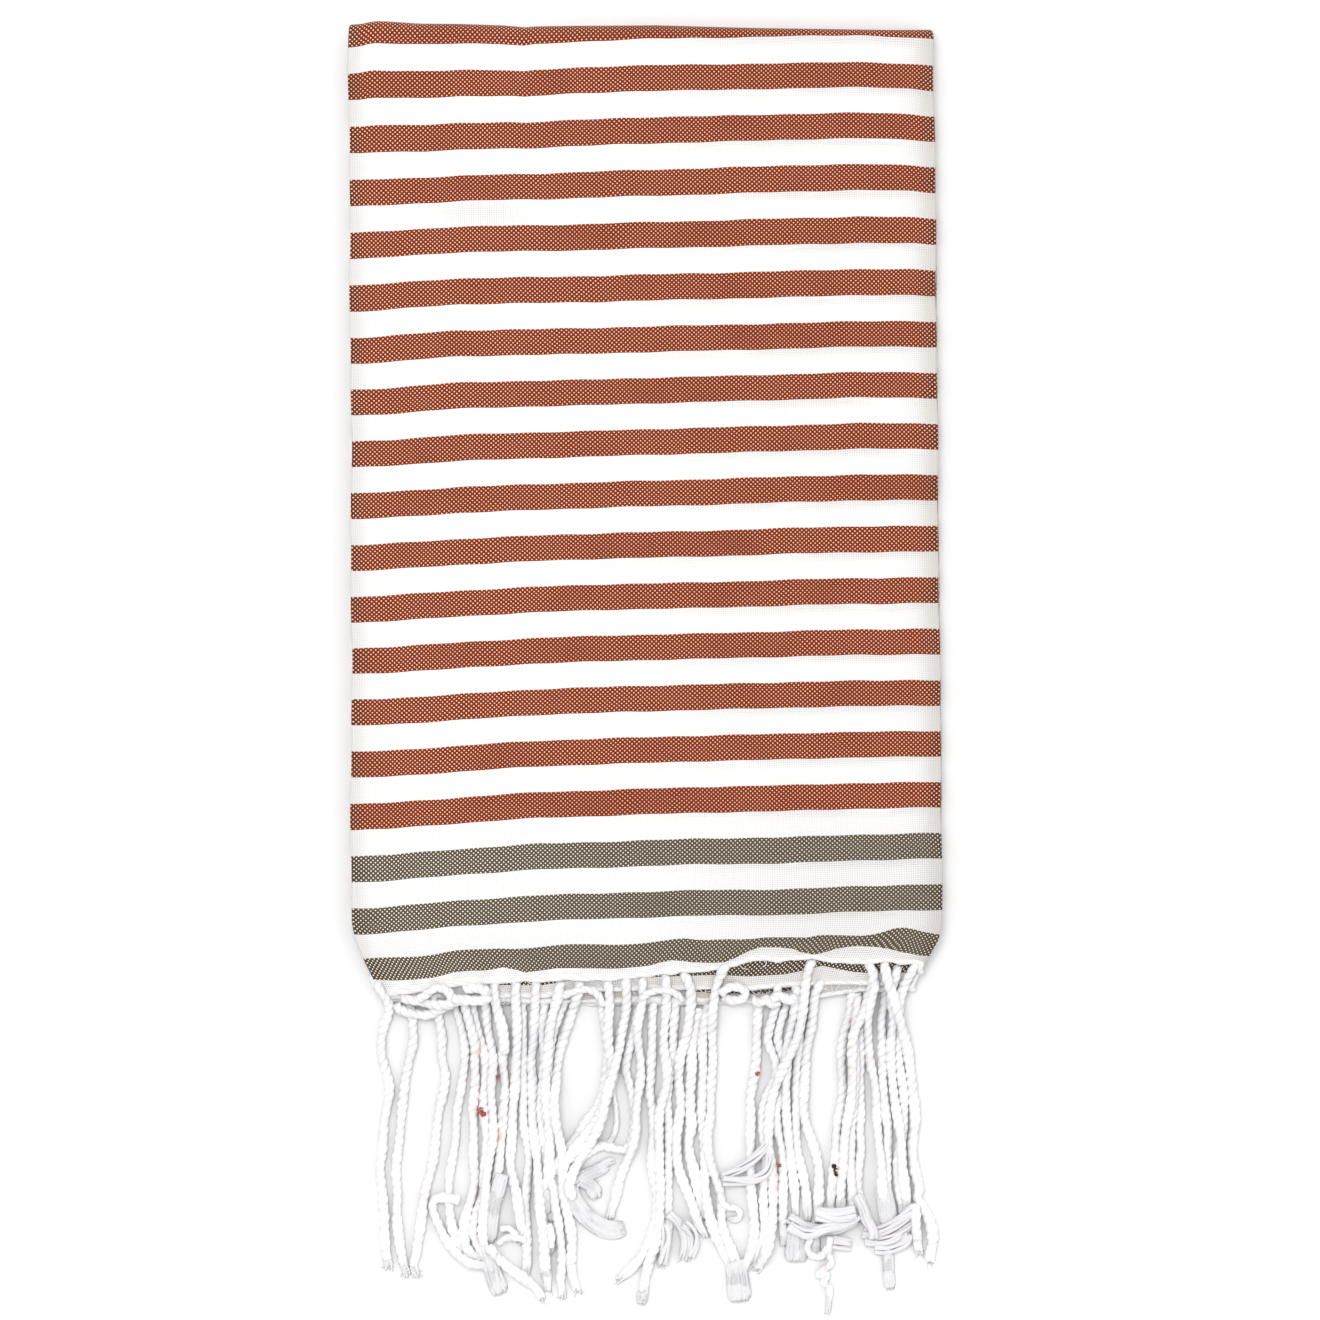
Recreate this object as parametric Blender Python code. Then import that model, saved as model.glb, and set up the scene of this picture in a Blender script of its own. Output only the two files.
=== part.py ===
"""Flat-woven striped cotton towel with a corded fringe, folded into a long flat pack.

The cloth is one sheet. It is folded in thirds along its length, which gives a strip of three plies with both
sides closed, and then across, in half and in half again, with both hems and both fringes at the same end.
The pack lies on z = 0 with its closed end towards +Y and its fringes towards -Y. Lengths are in millimetres
until the meshes are made. While the shapes are worked out, y = 0 is the middle of the top hem.
"""

import math
import random
from collections import namedtuple

import bpy
import numpy as np

MM = 0.001

# The cloth's section, across the pack
PANEL_WIDTH = 316.7
PLY = 1.1
PLY_PITCH = 1.45
INNER_FLAP_SHORT = 6.0
OUTER_FLAP_SHORT = 2.4
COLUMNS = (-150.0, -120.0, -86.0, -46.0, -8.0, 16.0, 34.0, 54.0, 76.0, 98.0, 122.0, 146.0)

# The path of that section, along the pack
TOP_EDGE = 515.4
MIDDLE_FOLD_EDGE = 32.2
HEM_ZONE = 34.0
RUN_STATIONS = (34.0, 110.0, 200.0, 295.0, 385.0, 450.0)
HEM_STEPS = 7
OUTER_FOLD_STEPS = 6
INNER_FOLD_STEPS = 4
LAYER_PITCH = 3 * PLY_PITCH
LOWEST_LAYER = PLY_PITCH + PLY / 2

# Past the middle fold the two top layers sink to the ground
SINK = 2 * LAYER_PITCH
SINK_FROM = 31.0
SINK_TO = -8.0

# The fringe
HEADING = 4.0
PARTING = 0.42
CORD_HALF = 2.4
CORD_PITCH = 5.22
ROOT_WIDTH = 3.4
TIP = 9.0
CORD_STATIONS = (-17.0, -25.0, -36.0, -50.0, -66.0, -84.0, -103.0, -122.0, -141.0, -160.0)

Side = namedtuple("Side", "y left right")
SIDES = (
    Side(y=-19.0, left=-139.0, right=142.0),
    Side(y=-8.0, left=-140.5, right=143.5),
    Side(y=3.0, left=-146.0, right=148.0),
    Side(y=14.5, left=-151.3, right=153.0),
    Side(y=24.0, left=-155.0, right=158.3),
    Side(y=33.0, left=-157.0, right=160.5),
    Side(y=67.0, left=-157.5, right=160.2),
    Side(y=153.0, left=-157.2, right=159.1),
    Side(y=260.0, left=-157.2, right=157.8),
    Side(y=367.0, left=-157.8, right=157.0),
    Side(y=517.0, left=-158.9, right=155.6),
)

TopWave = namedtuple("TopWave", "x rise low_rise")
TOP_WAVES = (
    TopWave(x=-158.0, rise=1.2, low_rise=0.0),
    TopWave(x=-139.0, rise=2.6, low_rise=0.0),
    TopWave(x=-98.0, rise=0.8, low_rise=1.4),
    TopWave(x=-67.0, rise=-2.2, low_rise=3.0),
    TopWave(x=-45.0, rise=-0.7, low_rise=2.2),
    TopWave(x=8.0, rise=-0.2, low_rise=1.8),
    TopWave(x=60.0, rise=-1.0, low_rise=0.3),
    TopWave(x=135.0, rise=-1.9, low_rise=0.0),
    TopWave(x=158.0, rise=-1.6, low_rise=0.0),
)

# Where each ply's edge ends at the hems, along the pack's width
HemPoint = namedtuple("HemPoint", "x middle inner outer")
TOP_HEM = (
    HemPoint(x=-158.0, middle=-8.4, inner=-8.4, outer=-10.5),
    HemPoint(x=-128.0, middle=-5.6, inner=-7.0, outer=-10.2),
    HemPoint(x=-102.0, middle=-3.0, inner=-5.4, outer=-9.9),
    HemPoint(x=-60.0, middle=-0.6, inner=-4.0, outer=-9.7),
    HemPoint(x=10.0, middle=2.0, inner=-2.4, outer=-9.7),
    HemPoint(x=28.0, middle=6.2, inner=-0.6, outer=-9.7),
    HemPoint(x=42.0, middle=8.8, inner=-1.2, outer=-9.7),
    HemPoint(x=58.0, middle=12.6, inner=-1.8, outer=-9.7),
    HemPoint(x=76.0, middle=13.4, inner=-0.8, outer=-9.4),
    HemPoint(x=96.0, middle=14.2, inner=0.4, outer=-8.6),
    HemPoint(x=120.0, middle=12.6, inner=0.8, outer=-5.0),
    HemPoint(x=145.0, middle=11.4, inner=0.4, outer=2.6),
    HemPoint(x=158.0, middle=11.0, inner=0.4, outer=11.0),
)
LOW_HEM = (
    HemPoint(x=-158.0, middle=-12.2, inner=-12.2, outer=-11.0),
    HemPoint(x=-60.0, middle=-12.7, inner=-11.8, outer=-10.9),
    HemPoint(x=40.0, middle=-12.5, inner=-11.7, outer=-10.8),
    HemPoint(x=148.0, middle=-12.5, inner=-11.7, outer=-10.8),
    HemPoint(x=158.0, middle=-12.4, inner=-11.6, outer=-12.4),
)

# Cords lie in bunches. Each pair is a cord of the lower fringe and, to its right, one of the upper.
Bunch = namedtuple("Bunch", "pairs hem waist low tip")
BUNCHES = (
    Bunch(pairs=2, hem=(-135.3, -119.6), waist=(-141.5, -126.6), low=(-142.8, -132.0), tip=(-142.2, -125.5)),
    Bunch(pairs=6, hem=(-107.7, -50.3), waist=(-106.8, -47.2), low=(-111.5, -47.0), tip=(-116.5, -43.0)),
    Bunch(pairs=7, hem=(-38.4, 29.5), waist=(-20.9, 38.0), low=(-27.0, 36.8), tip=(-31.0, 38.0)),
    Bunch(pairs=4, hem=(41.4, 77.9), waist=(58.5, 90.0), low=(57.4, 92.5), tip=(50.5, 86.0)),
    Bunch(pairs=5, hem=(89.8, 136.8), waist=(106.8, 146.5), low=(104.0, 148.8), tip=(98.5, 150.0)),
)
BUNCH_DEPTHS = (-17.0, -50.0, -89.0, -137.0)

Reach = namedtuple("Reach", "x y")
REACHES = (
    Reach(x=-143.0, y=-148.7),
    Reach(x=-125.6, y=-154.0),
    Reach(x=-115.0, y=-142.0),
    Reach(x=-101.4, y=-150.0),
    Reach(x=-85.3, y=-155.6),
    Reach(x=-77.3, y=-169.0),
    Reach(x=-45.0, y=-167.4),
    Reach(x=-29.0, y=-140.0),
    Reach(x=-12.9, y=-161.0),
    Reach(x=-1.6, y=-171.7),
    Reach(x=9.0, y=-150.0),
    Reach(x=40.8, y=-141.0),
    Reach(x=54.2, y=-170.0),
    Reach(x=84.0, y=-148.7),
    Reach(x=98.8, y=-176.0),
    Reach(x=110.6, y=-146.0),
    Reach(x=132.0, y=-163.2),
    Reach(x=150.8, y=-148.7),
)


def smooth(t):
    t = min(1.0, max(0.0, t))
    return t * t * (3.0 - 2.0 * t)


def table_at(rows, key, value, at):
    """The value column of a table at this place, straight from row to row."""
    return float(np.interp(at, [getattr(row, key) for row in rows], [getattr(row, value) for row in rows]))


# ---- The section: a strip of three plies -------------------------------------------------------------

Station = namedtuple("Station", "x h nx nh ply direction")


def section_columns():
    """The middle line of the cloth from the inner flap's edge to the outer flap's edge."""
    half = PANEL_WIDTH / 2 - PLY / 2
    left_radius = PLY_PITCH / 2
    right_radius = PLY_PITCH
    left_turn = -(half - left_radius)
    right_turn = half - right_radius
    found = [Station(half - INNER_FLAP_SHORT, 0.0, 0.0, -1.0, "inner", -1)]
    for x in reversed(COLUMNS):
        found.append(Station(x, 0.0, 0.0, -1.0, "inner", -1))
    for step in range(4):
        turn = -math.pi / 2 - math.pi * step / 3
        found.append(
            Station(
                left_turn + left_radius * math.cos(turn),
                left_radius + left_radius * math.sin(turn),
                math.cos(turn),
                math.sin(turn),
                "inner" if step < 2 else "middle",
                -1 if step < 2 else 1,
            )
        )
    for x in COLUMNS:
        found.append(Station(x, PLY_PITCH, 0.0, 1.0, "middle", 1))
    for step in range(5):
        turn = math.pi / 2 - math.pi * step / 4
        found.append(
            Station(
                right_turn + right_radius * math.cos(turn),
                right_radius * math.sin(turn),
                math.cos(turn),
                math.sin(turn),
                "middle" if step < 2 else "outer",
                1 if step < 2 else -1,
            )
        )
    for x in reversed(COLUMNS):
        found.append(Station(x, -PLY_PITCH, 0.0, -1.0, "outer", -1))
    found.append(Station(-half + OUTER_FLAP_SHORT, -PLY_PITCH, 0.0, -1.0, "outer", -1))
    return found


def is_flat(station):
    return abs(station.nx) < 1e-6


# ---- The path: four layers, two folds at the top and one at the bottom -------------------------------

LAYERS = tuple(LOWEST_LAYER + LAYER_PITCH * number for number in range(4))
TOP_CENTRE = TOP_EDGE - 1.5 * LAYER_PITCH - LOWEST_LAYER
BOTTOM_CENTRE = MIDDLE_FOLD_EDGE + LAYER_PITCH / 2 + LOWEST_LAYER
PATH = (
    ("run", 0.0, TOP_CENTRE, LAYERS[3]),
    ("turn", TOP_CENTRE, (LAYERS[0] + LAYERS[3]) / 2, 1.5 * LAYER_PITCH, math.pi / 2, -math.pi / 2),
    ("run", TOP_CENTRE, BOTTOM_CENTRE, LAYERS[0]),
    ("turn", BOTTOM_CENTRE, (LAYERS[0] + LAYERS[1]) / 2, LAYER_PITCH / 2, -math.pi / 2, -3 * math.pi / 2),
    ("run", BOTTOM_CENTRE, TOP_CENTRE, LAYERS[1]),
    ("turn", TOP_CENTRE, (LAYERS[1] + LAYERS[2]) / 2, LAYER_PITCH / 2, -math.pi / 2, math.pi / 2),
    ("run", TOP_CENTRE, 0.0, LAYERS[2]),
)


def path_point(leg, part):
    """Where the middle ply's line is, this part of the way along a leg, and the way its face looks."""
    if leg[0] == "run":
        y = leg[1] + (leg[2] - leg[1]) * part
        ahead = 1.0 if leg[2] > leg[1] else -1.0
        return y, leg[3], 0.0, ahead
    turn = leg[4] + (leg[5] - leg[4]) * part
    y = leg[1] + leg[3] * math.cos(turn)
    z = leg[2] + leg[3] * math.sin(turn)
    # The face looks outwards where the path turns clockwise
    out = 1.0 if leg[5] < leg[4] else -1.0
    return y, z, out * math.cos(turn), out * math.sin(turn)


def hem_ends(hem, station, half=PANEL_WIDTH / 2):
    """The y of a hem's lower end at this place in the section. A fold carries one ply's over to the next."""
    if is_flat(station):
        return table_at(hem, "x", station.ply, station.x)
    side = -half if station.nx < 0 else half
    first, second = ("inner", "middle") if station.nx < 0 else ("middle", "outer")
    share = (station.h + PLY_PITCH * (station.nx > 0)) / (PLY_PITCH * (1 + (station.nx > 0)))
    share = 1.0 - share if station.nx > 0 else share
    return table_at(hem, "x", first, side) * (1.0 - share) + table_at(hem, "x", second, side) * share


def stations_along(station):
    """The points of the path that this place in the section takes, as (y, z, face y, face z, way)."""
    start = hem_ends(TOP_HEM, station) + HEADING + PARTING
    found = []
    for step in range(HEM_STEPS):
        y = start + (HEM_ZONE - start) * step / HEM_STEPS
        found.append((y, LAYERS[3], 0.0, 1.0, 1))
    for number, leg in enumerate(PATH):
        if leg[0] == "turn":
            steps = OUTER_FOLD_STEPS if number == 1 else INNER_FOLD_STEPS
            for step in range(steps + 1):
                found.append((*path_point(leg, step / steps), 1))
            continue
        way = 1 if leg[2] > leg[1] else -1
        rows = RUN_STATIONS if way > 0 else RUN_STATIONS[::-1]
        for y in rows:
            if number in (2, 4) and y <= BOTTOM_CENTRE + 10.0:
                continue
            found.append((y, leg[3], 0.0, float(way), way))
    end = hem_ends(LOW_HEM, station) + HEADING + PARTING
    for step in range(1, HEM_STEPS + 1):
        y = HEM_ZONE + (end - HEM_ZONE) * step / HEM_STEPS
        found.append((y, LAYERS[2], 0.0, -1.0, -1))
    return found


# ---- The lie of the pack: every point goes through these, so that no two plies meet -------------------


def sunk(y):
    return SINK * (1.0 - smooth((y - SINK_TO) / (SINK_FROM - SINK_TO)))


def laid(x, y, z):
    """A point of the even pack, moved to where the real, slightly uneven one lies."""
    height = z / (LAYERS[3] + LOWEST_LAYER)
    lower = 1.0 - height
    near_top = smooth((y - 420.0) / 85.0)
    near_right = smooth((x - 100.0) / 55.0)
    z = z - sunk(y) if z > (LAYERS[1] + LAYERS[2]) / 2 and y < 100.0 else z
    swell = math.sin(x / 62.0 + 0.7) * math.cos(y / 88.0 + 0.4) + 0.6 * math.sin((x + y) / 74.0)
    z = z * (1.0 + 0.03 * swell * smooth((y - 20.0) / 60.0))
    left = table_at(SIDES, "y", "left", y)
    right = table_at(SIDES, "y", "right", y)
    spread = (right - left) / PANEL_WIDTH
    new_x = left + (x + PANEL_WIDTH / 2) * spread
    new_x += 1.3 * lower * near_right * smooth((y - 55.0) / 60.0) * smooth((470.0 - y) / 60.0)
    new_x -= 0.5 * math.sin(y / 31.0) * lower * smooth((-100.0 - x) / 50.0) * smooth((y - 50.0) / 40.0)
    rise = table_at(TOP_WAVES, "x", "rise", x) + lower * table_at(TOP_WAVES, "x", "low_rise", x)
    return new_x, y + near_top * rise, z


def both_faces(station, point):
    """The two points of the cloth's thickness at one place, on its face and on its back."""
    y, z, face_y, face_z, _ = point
    pair = []
    for side in (0.5, -0.5):
        x = station.x + side * PLY * station.nx
        h = station.h + side * PLY * station.nh
        pair.append(laid(x, y + h * face_y, z + h * face_z))
    return pair


# ---- Meshes ------------------------------------------------------------------------------------------


class Shell:
    """The points and faces of one closed body."""

    def __init__(self):
        self.points = []
        self.faces = []

    def add(self, point):
        self.points.append(tuple(point))
        return len(self.points) - 1

    def quad(self, a, b, c, d, other_way=False):
        """Two triangles, split along a-c, or along b-d."""
        if other_way:
            self.faces += [(a, b, d), (b, c, d)]
        else:
            self.faces += [(a, b, c), (a, c, d)]

    def facing_out(self):
        points = np.array(self.points)
        faces = np.array(self.faces)
        if np.linalg.det(points[faces]).sum() < 0:
            faces = faces[:, ::-1]
        return points, faces


def cloth_shell():
    section = section_columns()
    shell = Shell()
    front = []
    back = []
    ways = []
    for station in section:
        along = stations_along(station)
        pairs = [both_faces(station, point) for point in along]
        front.append([shell.add(pair[0]) for pair in pairs])
        back.append([shell.add(pair[1]) for pair in pairs])
        ways = [point[4] for point in along]
    last = len(ways) - 1
    for i in range(len(section) - 1):
        for k in range(last):
            # The same diagonal in plan for every ply, so that they stay parallel
            other = section[i].direction * ways[k] < 0
            shell.quad(front[i][k], front[i + 1][k], front[i + 1][k + 1], front[i][k + 1], other)
            shell.quad(back[i][k + 1], back[i + 1][k + 1], back[i + 1][k], back[i][k], not other)
        shell.quad(back[i][0], back[i + 1][0], front[i + 1][0], front[i][0])
        shell.quad(front[i][last], front[i + 1][last], back[i + 1][last], back[i][last])
    for k in range(last):
        shell.quad(back[0][k + 1], back[0][k], front[0][k], front[0][k + 1])
        shell.quad(front[-1][k + 1], front[-1][k], back[-1][k], back[-1][k + 1])
    return shell


# ---- Cords -------------------------------------------------------------------------------------------


def bunch_limits(bunch, y):
    """The places of a bunch's first and last cord at this depth."""
    rows = (bunch.hem, bunch.waist, bunch.low, bunch.tip)
    for number in range(3):
        upper, lower = BUNCH_DEPTHS[number], BUNCH_DEPTHS[number + 1]
        if y > lower:
            part = smooth((upper - y) / (upper - lower))
            return tuple(a + (b - a) * part for a, b in zip(rows[number], rows[number + 1]))
    return rows[3]


def cord_places(y):
    """The x of every cord at this depth, from left to right: lower, upper, lower, upper and so on."""
    chance = random.Random(11)
    found = []
    for number, bunch in enumerate(BUNCHES):
        left, right = bunch_limits(bunch, y)
        # The room between the cords opens and closes along them
        starts = [chance.uniform(0.0, 6.28) for _ in range(bunch.pairs - 1)]
        opening = 0.55 * smooth((-20.0 - y) / 22.0)
        shares = [1.0 + opening * math.sin(y / 24.0 + start) for start in starts]
        sway = 1.3 * math.sin((y + 17.0) / 19.0 + number * 2.1) * smooth((-17.0 - y) / 25.0)
        room = (right - left) - CORD_PITCH * bunch.pairs
        lower = [left + sway]
        for share in shares:
            lower.append(lower[-1] + CORD_PITCH + max(0.0, room) * share / sum(shares))
        for index, x in enumerate(lower):
            found.append(x)
            found.append((x + lower[index + 1]) / 2 if index + 1 < len(lower) else x + CORD_PITCH)
    return found


Cord = namedtuple("Cord", "number upper ply root end")


def cords():
    """Each cord's ply, its root's place in the flat section, and where it ends."""
    chance = random.Random(5)
    at_hem = cord_places(BUNCH_DEPTHS[0])
    at_tip = cord_places(BUNCH_DEPTHS[-1])
    left = table_at(SIDES, "y", "left", -10.0)
    right = table_at(SIDES, "y", "right", -10.0)
    found = []
    for number, x in enumerate(at_hem):
        upper = number % 2 == 1
        order = ("middle", "outer", "inner") if upper else ("outer", "middle", "inner")
        ply = order[(number // 2) % 3]
        root = (x - left) / (right - left) * PANEL_WIDTH - PANEL_WIDTH / 2
        if upper and root > 112.0:
            ply = ("inner", "middle")[(number // 2) % 2]
        reach = table_at(REACHES, "x", "y", at_tip[number])
        shorter = 0.0 if number % 3 == 2 else chance.uniform(0.02, 0.15)
        found.append(Cord(number, upper, ply, root, reach * (1.0 - shorter)))
    return found


def ply_bottom(cord, y):
    """How high the underside of the cord's own ply lies here, before the cord leaves it."""
    layer = LAYERS[3] if cord.upper else LAYERS[2]
    facing = 1.0 if cord.upper else -1.0
    above = {"middle": PLY_PITCH, "inner": 0.0, "outer": -PLY_PITCH}[cord.ply] * facing
    return layer - sunk(y) + above - PLY / 2


def cord_heights(all_cords):
    """Each cord's height at each station: the lower ones on the ground, the upper in the dips between them."""
    heights = {}
    for y in CORD_STATIONS:
        places = cord_places(y)
        fall = smooth((-17.0 - y) / 31.0)
        quick = smooth((-17.0 - y) / 16.0)
        for cord in all_cords:
            if not cord.upper:
                start = ply_bottom(cord, y) + CORD_HALF
                heights[cord.number, y] = start + (CORD_HALF - start) * quick
        for cord in all_cords:
            if not cord.upper:
                continue
            start = ply_bottom(cord, y) + CORD_HALF
            height = start + (CORD_HALF - start) * fall
            for other in (cord.number - 1, cord.number + 1):
                if other >= len(all_cords) or all_cords[other].end > y + 20.0:
                    continue
                apart = abs(places[cord.number] - places[other])
                if apart < CORD_PITCH - 1e-6:
                    height = max(height, heights[other, y] + CORD_PITCH - apart)
            heights[cord.number, y] = height
    return heights


def cord_route(cord, heights, root_y):
    """The cord's sections after its root, as (x, y, z, half width)."""
    route = []
    if root_y > CORD_STATIONS[0] + 9.0:
        y = root_y - 5.0
        left = table_at(SIDES, "y", "left", y)
        right = table_at(SIDES, "y", "right", y)
        x = left + (cord.root + PANEL_WIDTH / 2) * (right - left) / PANEL_WIDTH
        route.append((x, y, ply_bottom(cord, y) + CORD_HALF, CORD_HALF))
    depths = [-y for y in CORD_STATIONS]
    across = [cord_places(y)[cord.number] for y in CORD_STATIONS]
    upright = [heights[cord.number, y] for y in CORD_STATIONS]
    # The tip narrows over its last stretch, and every station that it passes is kept
    near_end = [cord.end + TIP, cord.end + TIP / 3, cord.end]
    stops = [y for y in CORD_STATIONS if min(abs(y - stop) for stop in near_end) > 2.0 and y > cord.end]
    for y in sorted(stops + near_end, reverse=True):
        half = CORD_HALF * float(np.interp(y - cord.end, (0.0, TIP / 3, TIP), (0.5, 0.85, 1.0)))
        x = float(np.interp(-y, depths, across))
        z = float(np.interp(-y, depths, upright))
        route.append((x, y, z - (CORD_HALF - half), half))
    return route


def between(before, after, part):
    """The column of points this part of the way from one column to the next."""
    rows = []
    for row_before, row_after in zip(before, after):
        pair = []
        for a, b in zip(row_before, row_after):
            pair.append(tuple(p + (q - p) * part for p, q in zip(a, b)))
        rows.append(pair)
    return rows


def fringe_shell(upper, all_cords, heights):
    """A heading strip, parted from the cloth's edge, with its cords growing out of its lower edge."""
    mine = [cord for cord in all_cords if cord.upper == upper]
    hem = TOP_HEM if upper else LOW_HEM
    layer = LAYERS[3] if upper else LAYERS[2]
    facing = 1.0 if upper else -1.0
    section = section_columns()
    columns = []
    for station in section:
        end = hem_ends(hem, station)
        rows = []
        for above_end in (HEADING, 0.0):
            rows.append(both_faces(station, (end + above_end, layer, 0.0, facing, 1)))
        columns.append((station, rows, None))
    # Cord roots are set into the straight runs between two columns
    full = [columns[0]]
    for before, after in zip(columns, columns[1:]):
        flat = is_flat(before[0]) and is_flat(after[0]) and before[0].ply == after[0].ply
        inside = []
        for cord in mine:
            if not flat or cord.ply != before[0].ply:
                continue
            for edge in (-ROOT_WIDTH / 2, ROOT_WIDTH / 2):
                part = (cord.root + edge - before[0].x) / (after[0].x - before[0].x)
                if 0.0 <= part < 1.0:
                    inside.append((part, cord))
        for part, cord in sorted(inside, key=lambda entry: entry[0]):
            full.append((before[0], between(before[1], after[1], part), cord))
        full.append(after)
    # A column that falls inside a root is left out
    kept = []
    inside_cord = None
    for entry in full:
        if entry[2] is None:
            if inside_cord is None:
                kept.append(entry)
            continue
        kept.append(entry)
        inside_cord = None if inside_cord is not None else entry[2]
    shell = Shell()
    points = []
    for _, rows, _ in kept:
        points.append([[shell.add(row[0]), shell.add(row[1])] for row in rows])
    opened = None
    for i in range(len(kept) - 1):
        a, b = points[i], points[i + 1]
        shell.quad(a[0][0], b[0][0], b[1][0], a[1][0])
        shell.quad(a[1][1], b[1][1], b[0][1], a[0][1])
        shell.quad(a[0][1], b[0][1], b[0][0], a[0][0])
        cord = kept[i][2]
        if cord is not None and kept[i + 1][2] is cord and opened is not cord:
            opened = cord
            grow_cord(shell, cord, heights, a[1], b[1], kept[i][0].direction)
            continue
        shell.quad(a[1][0], b[1][0], b[1][1], a[1][1])
    for end in (0, -1):
        a = points[end]
        ring = (a[0][0], a[0][1], a[1][1], a[1][0])
        shell.quad(*(ring if end else ring[::-1]), end == 0)
    return shell


def grow_cord(shell, cord, heights, first, second, direction):
    """Four sides, from the root's flat end to an upright diamond that narrows at its tip."""
    facing_up = (cord.ply == "middle") == cord.upper
    corners = [first[0], second[0], second[1], first[1]]
    on_left = [direction > 0, direction < 0, direction < 0, direction > 0]
    on_top = [facing_up, facing_up, not facing_up, not facing_up]
    # Each of the root's corners goes to one of the diamond's: upper left to left, upper right to top and so on
    goal = []
    for is_left, is_top in zip(on_left, on_top):
        if is_top:
            goal.append((-1.0, 0.0) if is_left else (0.0, 1.0))
        else:
            goal.append((0.0, -1.0) if is_left else (1.0, 0.0))
    root_y = sum(shell.points[corner][1] for corner in corners) / 4
    ring = corners
    for x, y, z, half in cord_route(cord, heights, root_y):
        following = [shell.add((x + half * side, y, z + half * rise)) for side, rise in goal]
        for index in range(4):
            after = (index + 1) % 4
            shell.quad(ring[index], ring[after], following[after], following[index])
        ring = following
    shell.quad(ring[0], ring[1], ring[2], ring[3])


# ---- Objects -----------------------------------------------------------------------------------------


def make_material(name, colour, roughness):
    material = bpy.data.materials.new(name)
    material.use_nodes = True
    shader = material.node_tree.nodes["Principled BSDF"]
    shader.inputs["Base Color"].default_value = (*colour, 1.0)
    shader.inputs["Roughness"].default_value = roughness
    shader.inputs["Metallic"].default_value = 0.0
    material.diffuse_color = (*colour, 1.0)
    return material


def make_object(name, shell, offset, material, parent):
    points, faces = shell.facing_out()
    mesh = bpy.data.meshes.new(name)
    mesh.from_pydata(((points - offset) * MM).tolist(), [], faces.tolist())
    mesh.validate()
    mesh.shade_smooth()
    mesh.set_sharp_from_angle(angle=math.radians(40.0))
    mesh.materials.append(material)
    made = bpy.data.objects.new(name, mesh)
    made.parent = parent
    bpy.context.scene.collection.objects.link(made)
    return made


def build_towel():
    for old in list(bpy.data.objects):
        bpy.data.objects.remove(old, do_unlink=True)
    all_cords = cords()
    heights = cord_heights(all_cords)
    shells = {
        "towel_cloth": cloth_shell(),
        "front_fringe": fringe_shell(True, all_cords, heights),
        "back_fringe": fringe_shell(False, all_cords, heights),
    }
    every = np.concatenate([np.array(shell.points) for shell in shells.values()])
    low, high = every.min(axis=0), every.max(axis=0)
    # The origin is under the middle of the whole towel, on the surface that it lies on
    offset = np.array([(low[0] + high[0]) / 2, (low[1] + high[1]) / 2, 0.0])
    towel = bpy.data.objects.new("folded_towel", None)
    bpy.context.scene.collection.objects.link(towel)
    cloth = make_material("woven_cotton", (0.89, 0.87, 0.83), 0.9)
    cord = make_material("cotton_cord", (0.9, 0.89, 0.88), 0.88)
    for name, shell in shells.items():
        make_object(name, shell, offset, cloth if name == "towel_cloth" else cord, towel)


build_towel()
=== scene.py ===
# Folded striped cotton towel with a corded fringe, lying on a pale floor.
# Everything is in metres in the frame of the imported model. Tables of places are in millimetres.
import bpy
import math
import random

import numpy as np
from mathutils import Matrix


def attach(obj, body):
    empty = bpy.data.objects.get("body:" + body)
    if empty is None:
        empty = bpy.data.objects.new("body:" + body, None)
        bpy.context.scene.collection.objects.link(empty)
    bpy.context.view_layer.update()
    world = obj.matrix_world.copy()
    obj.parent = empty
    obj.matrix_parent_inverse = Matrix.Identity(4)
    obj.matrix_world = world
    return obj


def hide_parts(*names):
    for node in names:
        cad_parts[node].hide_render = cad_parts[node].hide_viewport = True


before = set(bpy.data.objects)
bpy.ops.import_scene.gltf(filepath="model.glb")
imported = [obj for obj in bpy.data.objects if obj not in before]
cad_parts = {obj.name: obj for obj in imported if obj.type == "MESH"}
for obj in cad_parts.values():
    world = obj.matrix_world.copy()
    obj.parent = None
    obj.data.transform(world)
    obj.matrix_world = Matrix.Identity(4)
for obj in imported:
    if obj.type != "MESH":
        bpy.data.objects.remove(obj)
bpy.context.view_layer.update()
print("frame loaded, nodes:", sorted(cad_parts))

mm = 0.001
midX = 1.044  # where the middle of the pack lies from the middle of the cloth's section
midY = 171.803  # and how far it is from the top hem


def smoothStep(t):
    t = np.clip(t, 0.0, 1.0)
    return t * t * (3.0 - 2.0 * t)


def column(rows, place, value, at):
    # A table's column, straight from row to row
    return np.interp(at, [row[place] for row in rows], [row[value] for row in rows])


def lengthAlong(points):
    # How far along its line each point is
    return np.concatenate([[0.0], np.cumsum(np.linalg.norm(np.diff(points, axis=0), axis=1))])


def placed(name, data):
    made = bpy.data.objects.new(name, data)
    bpy.context.scene.collection.objects.link(made)
    return made


# ---- Materials ----

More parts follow.
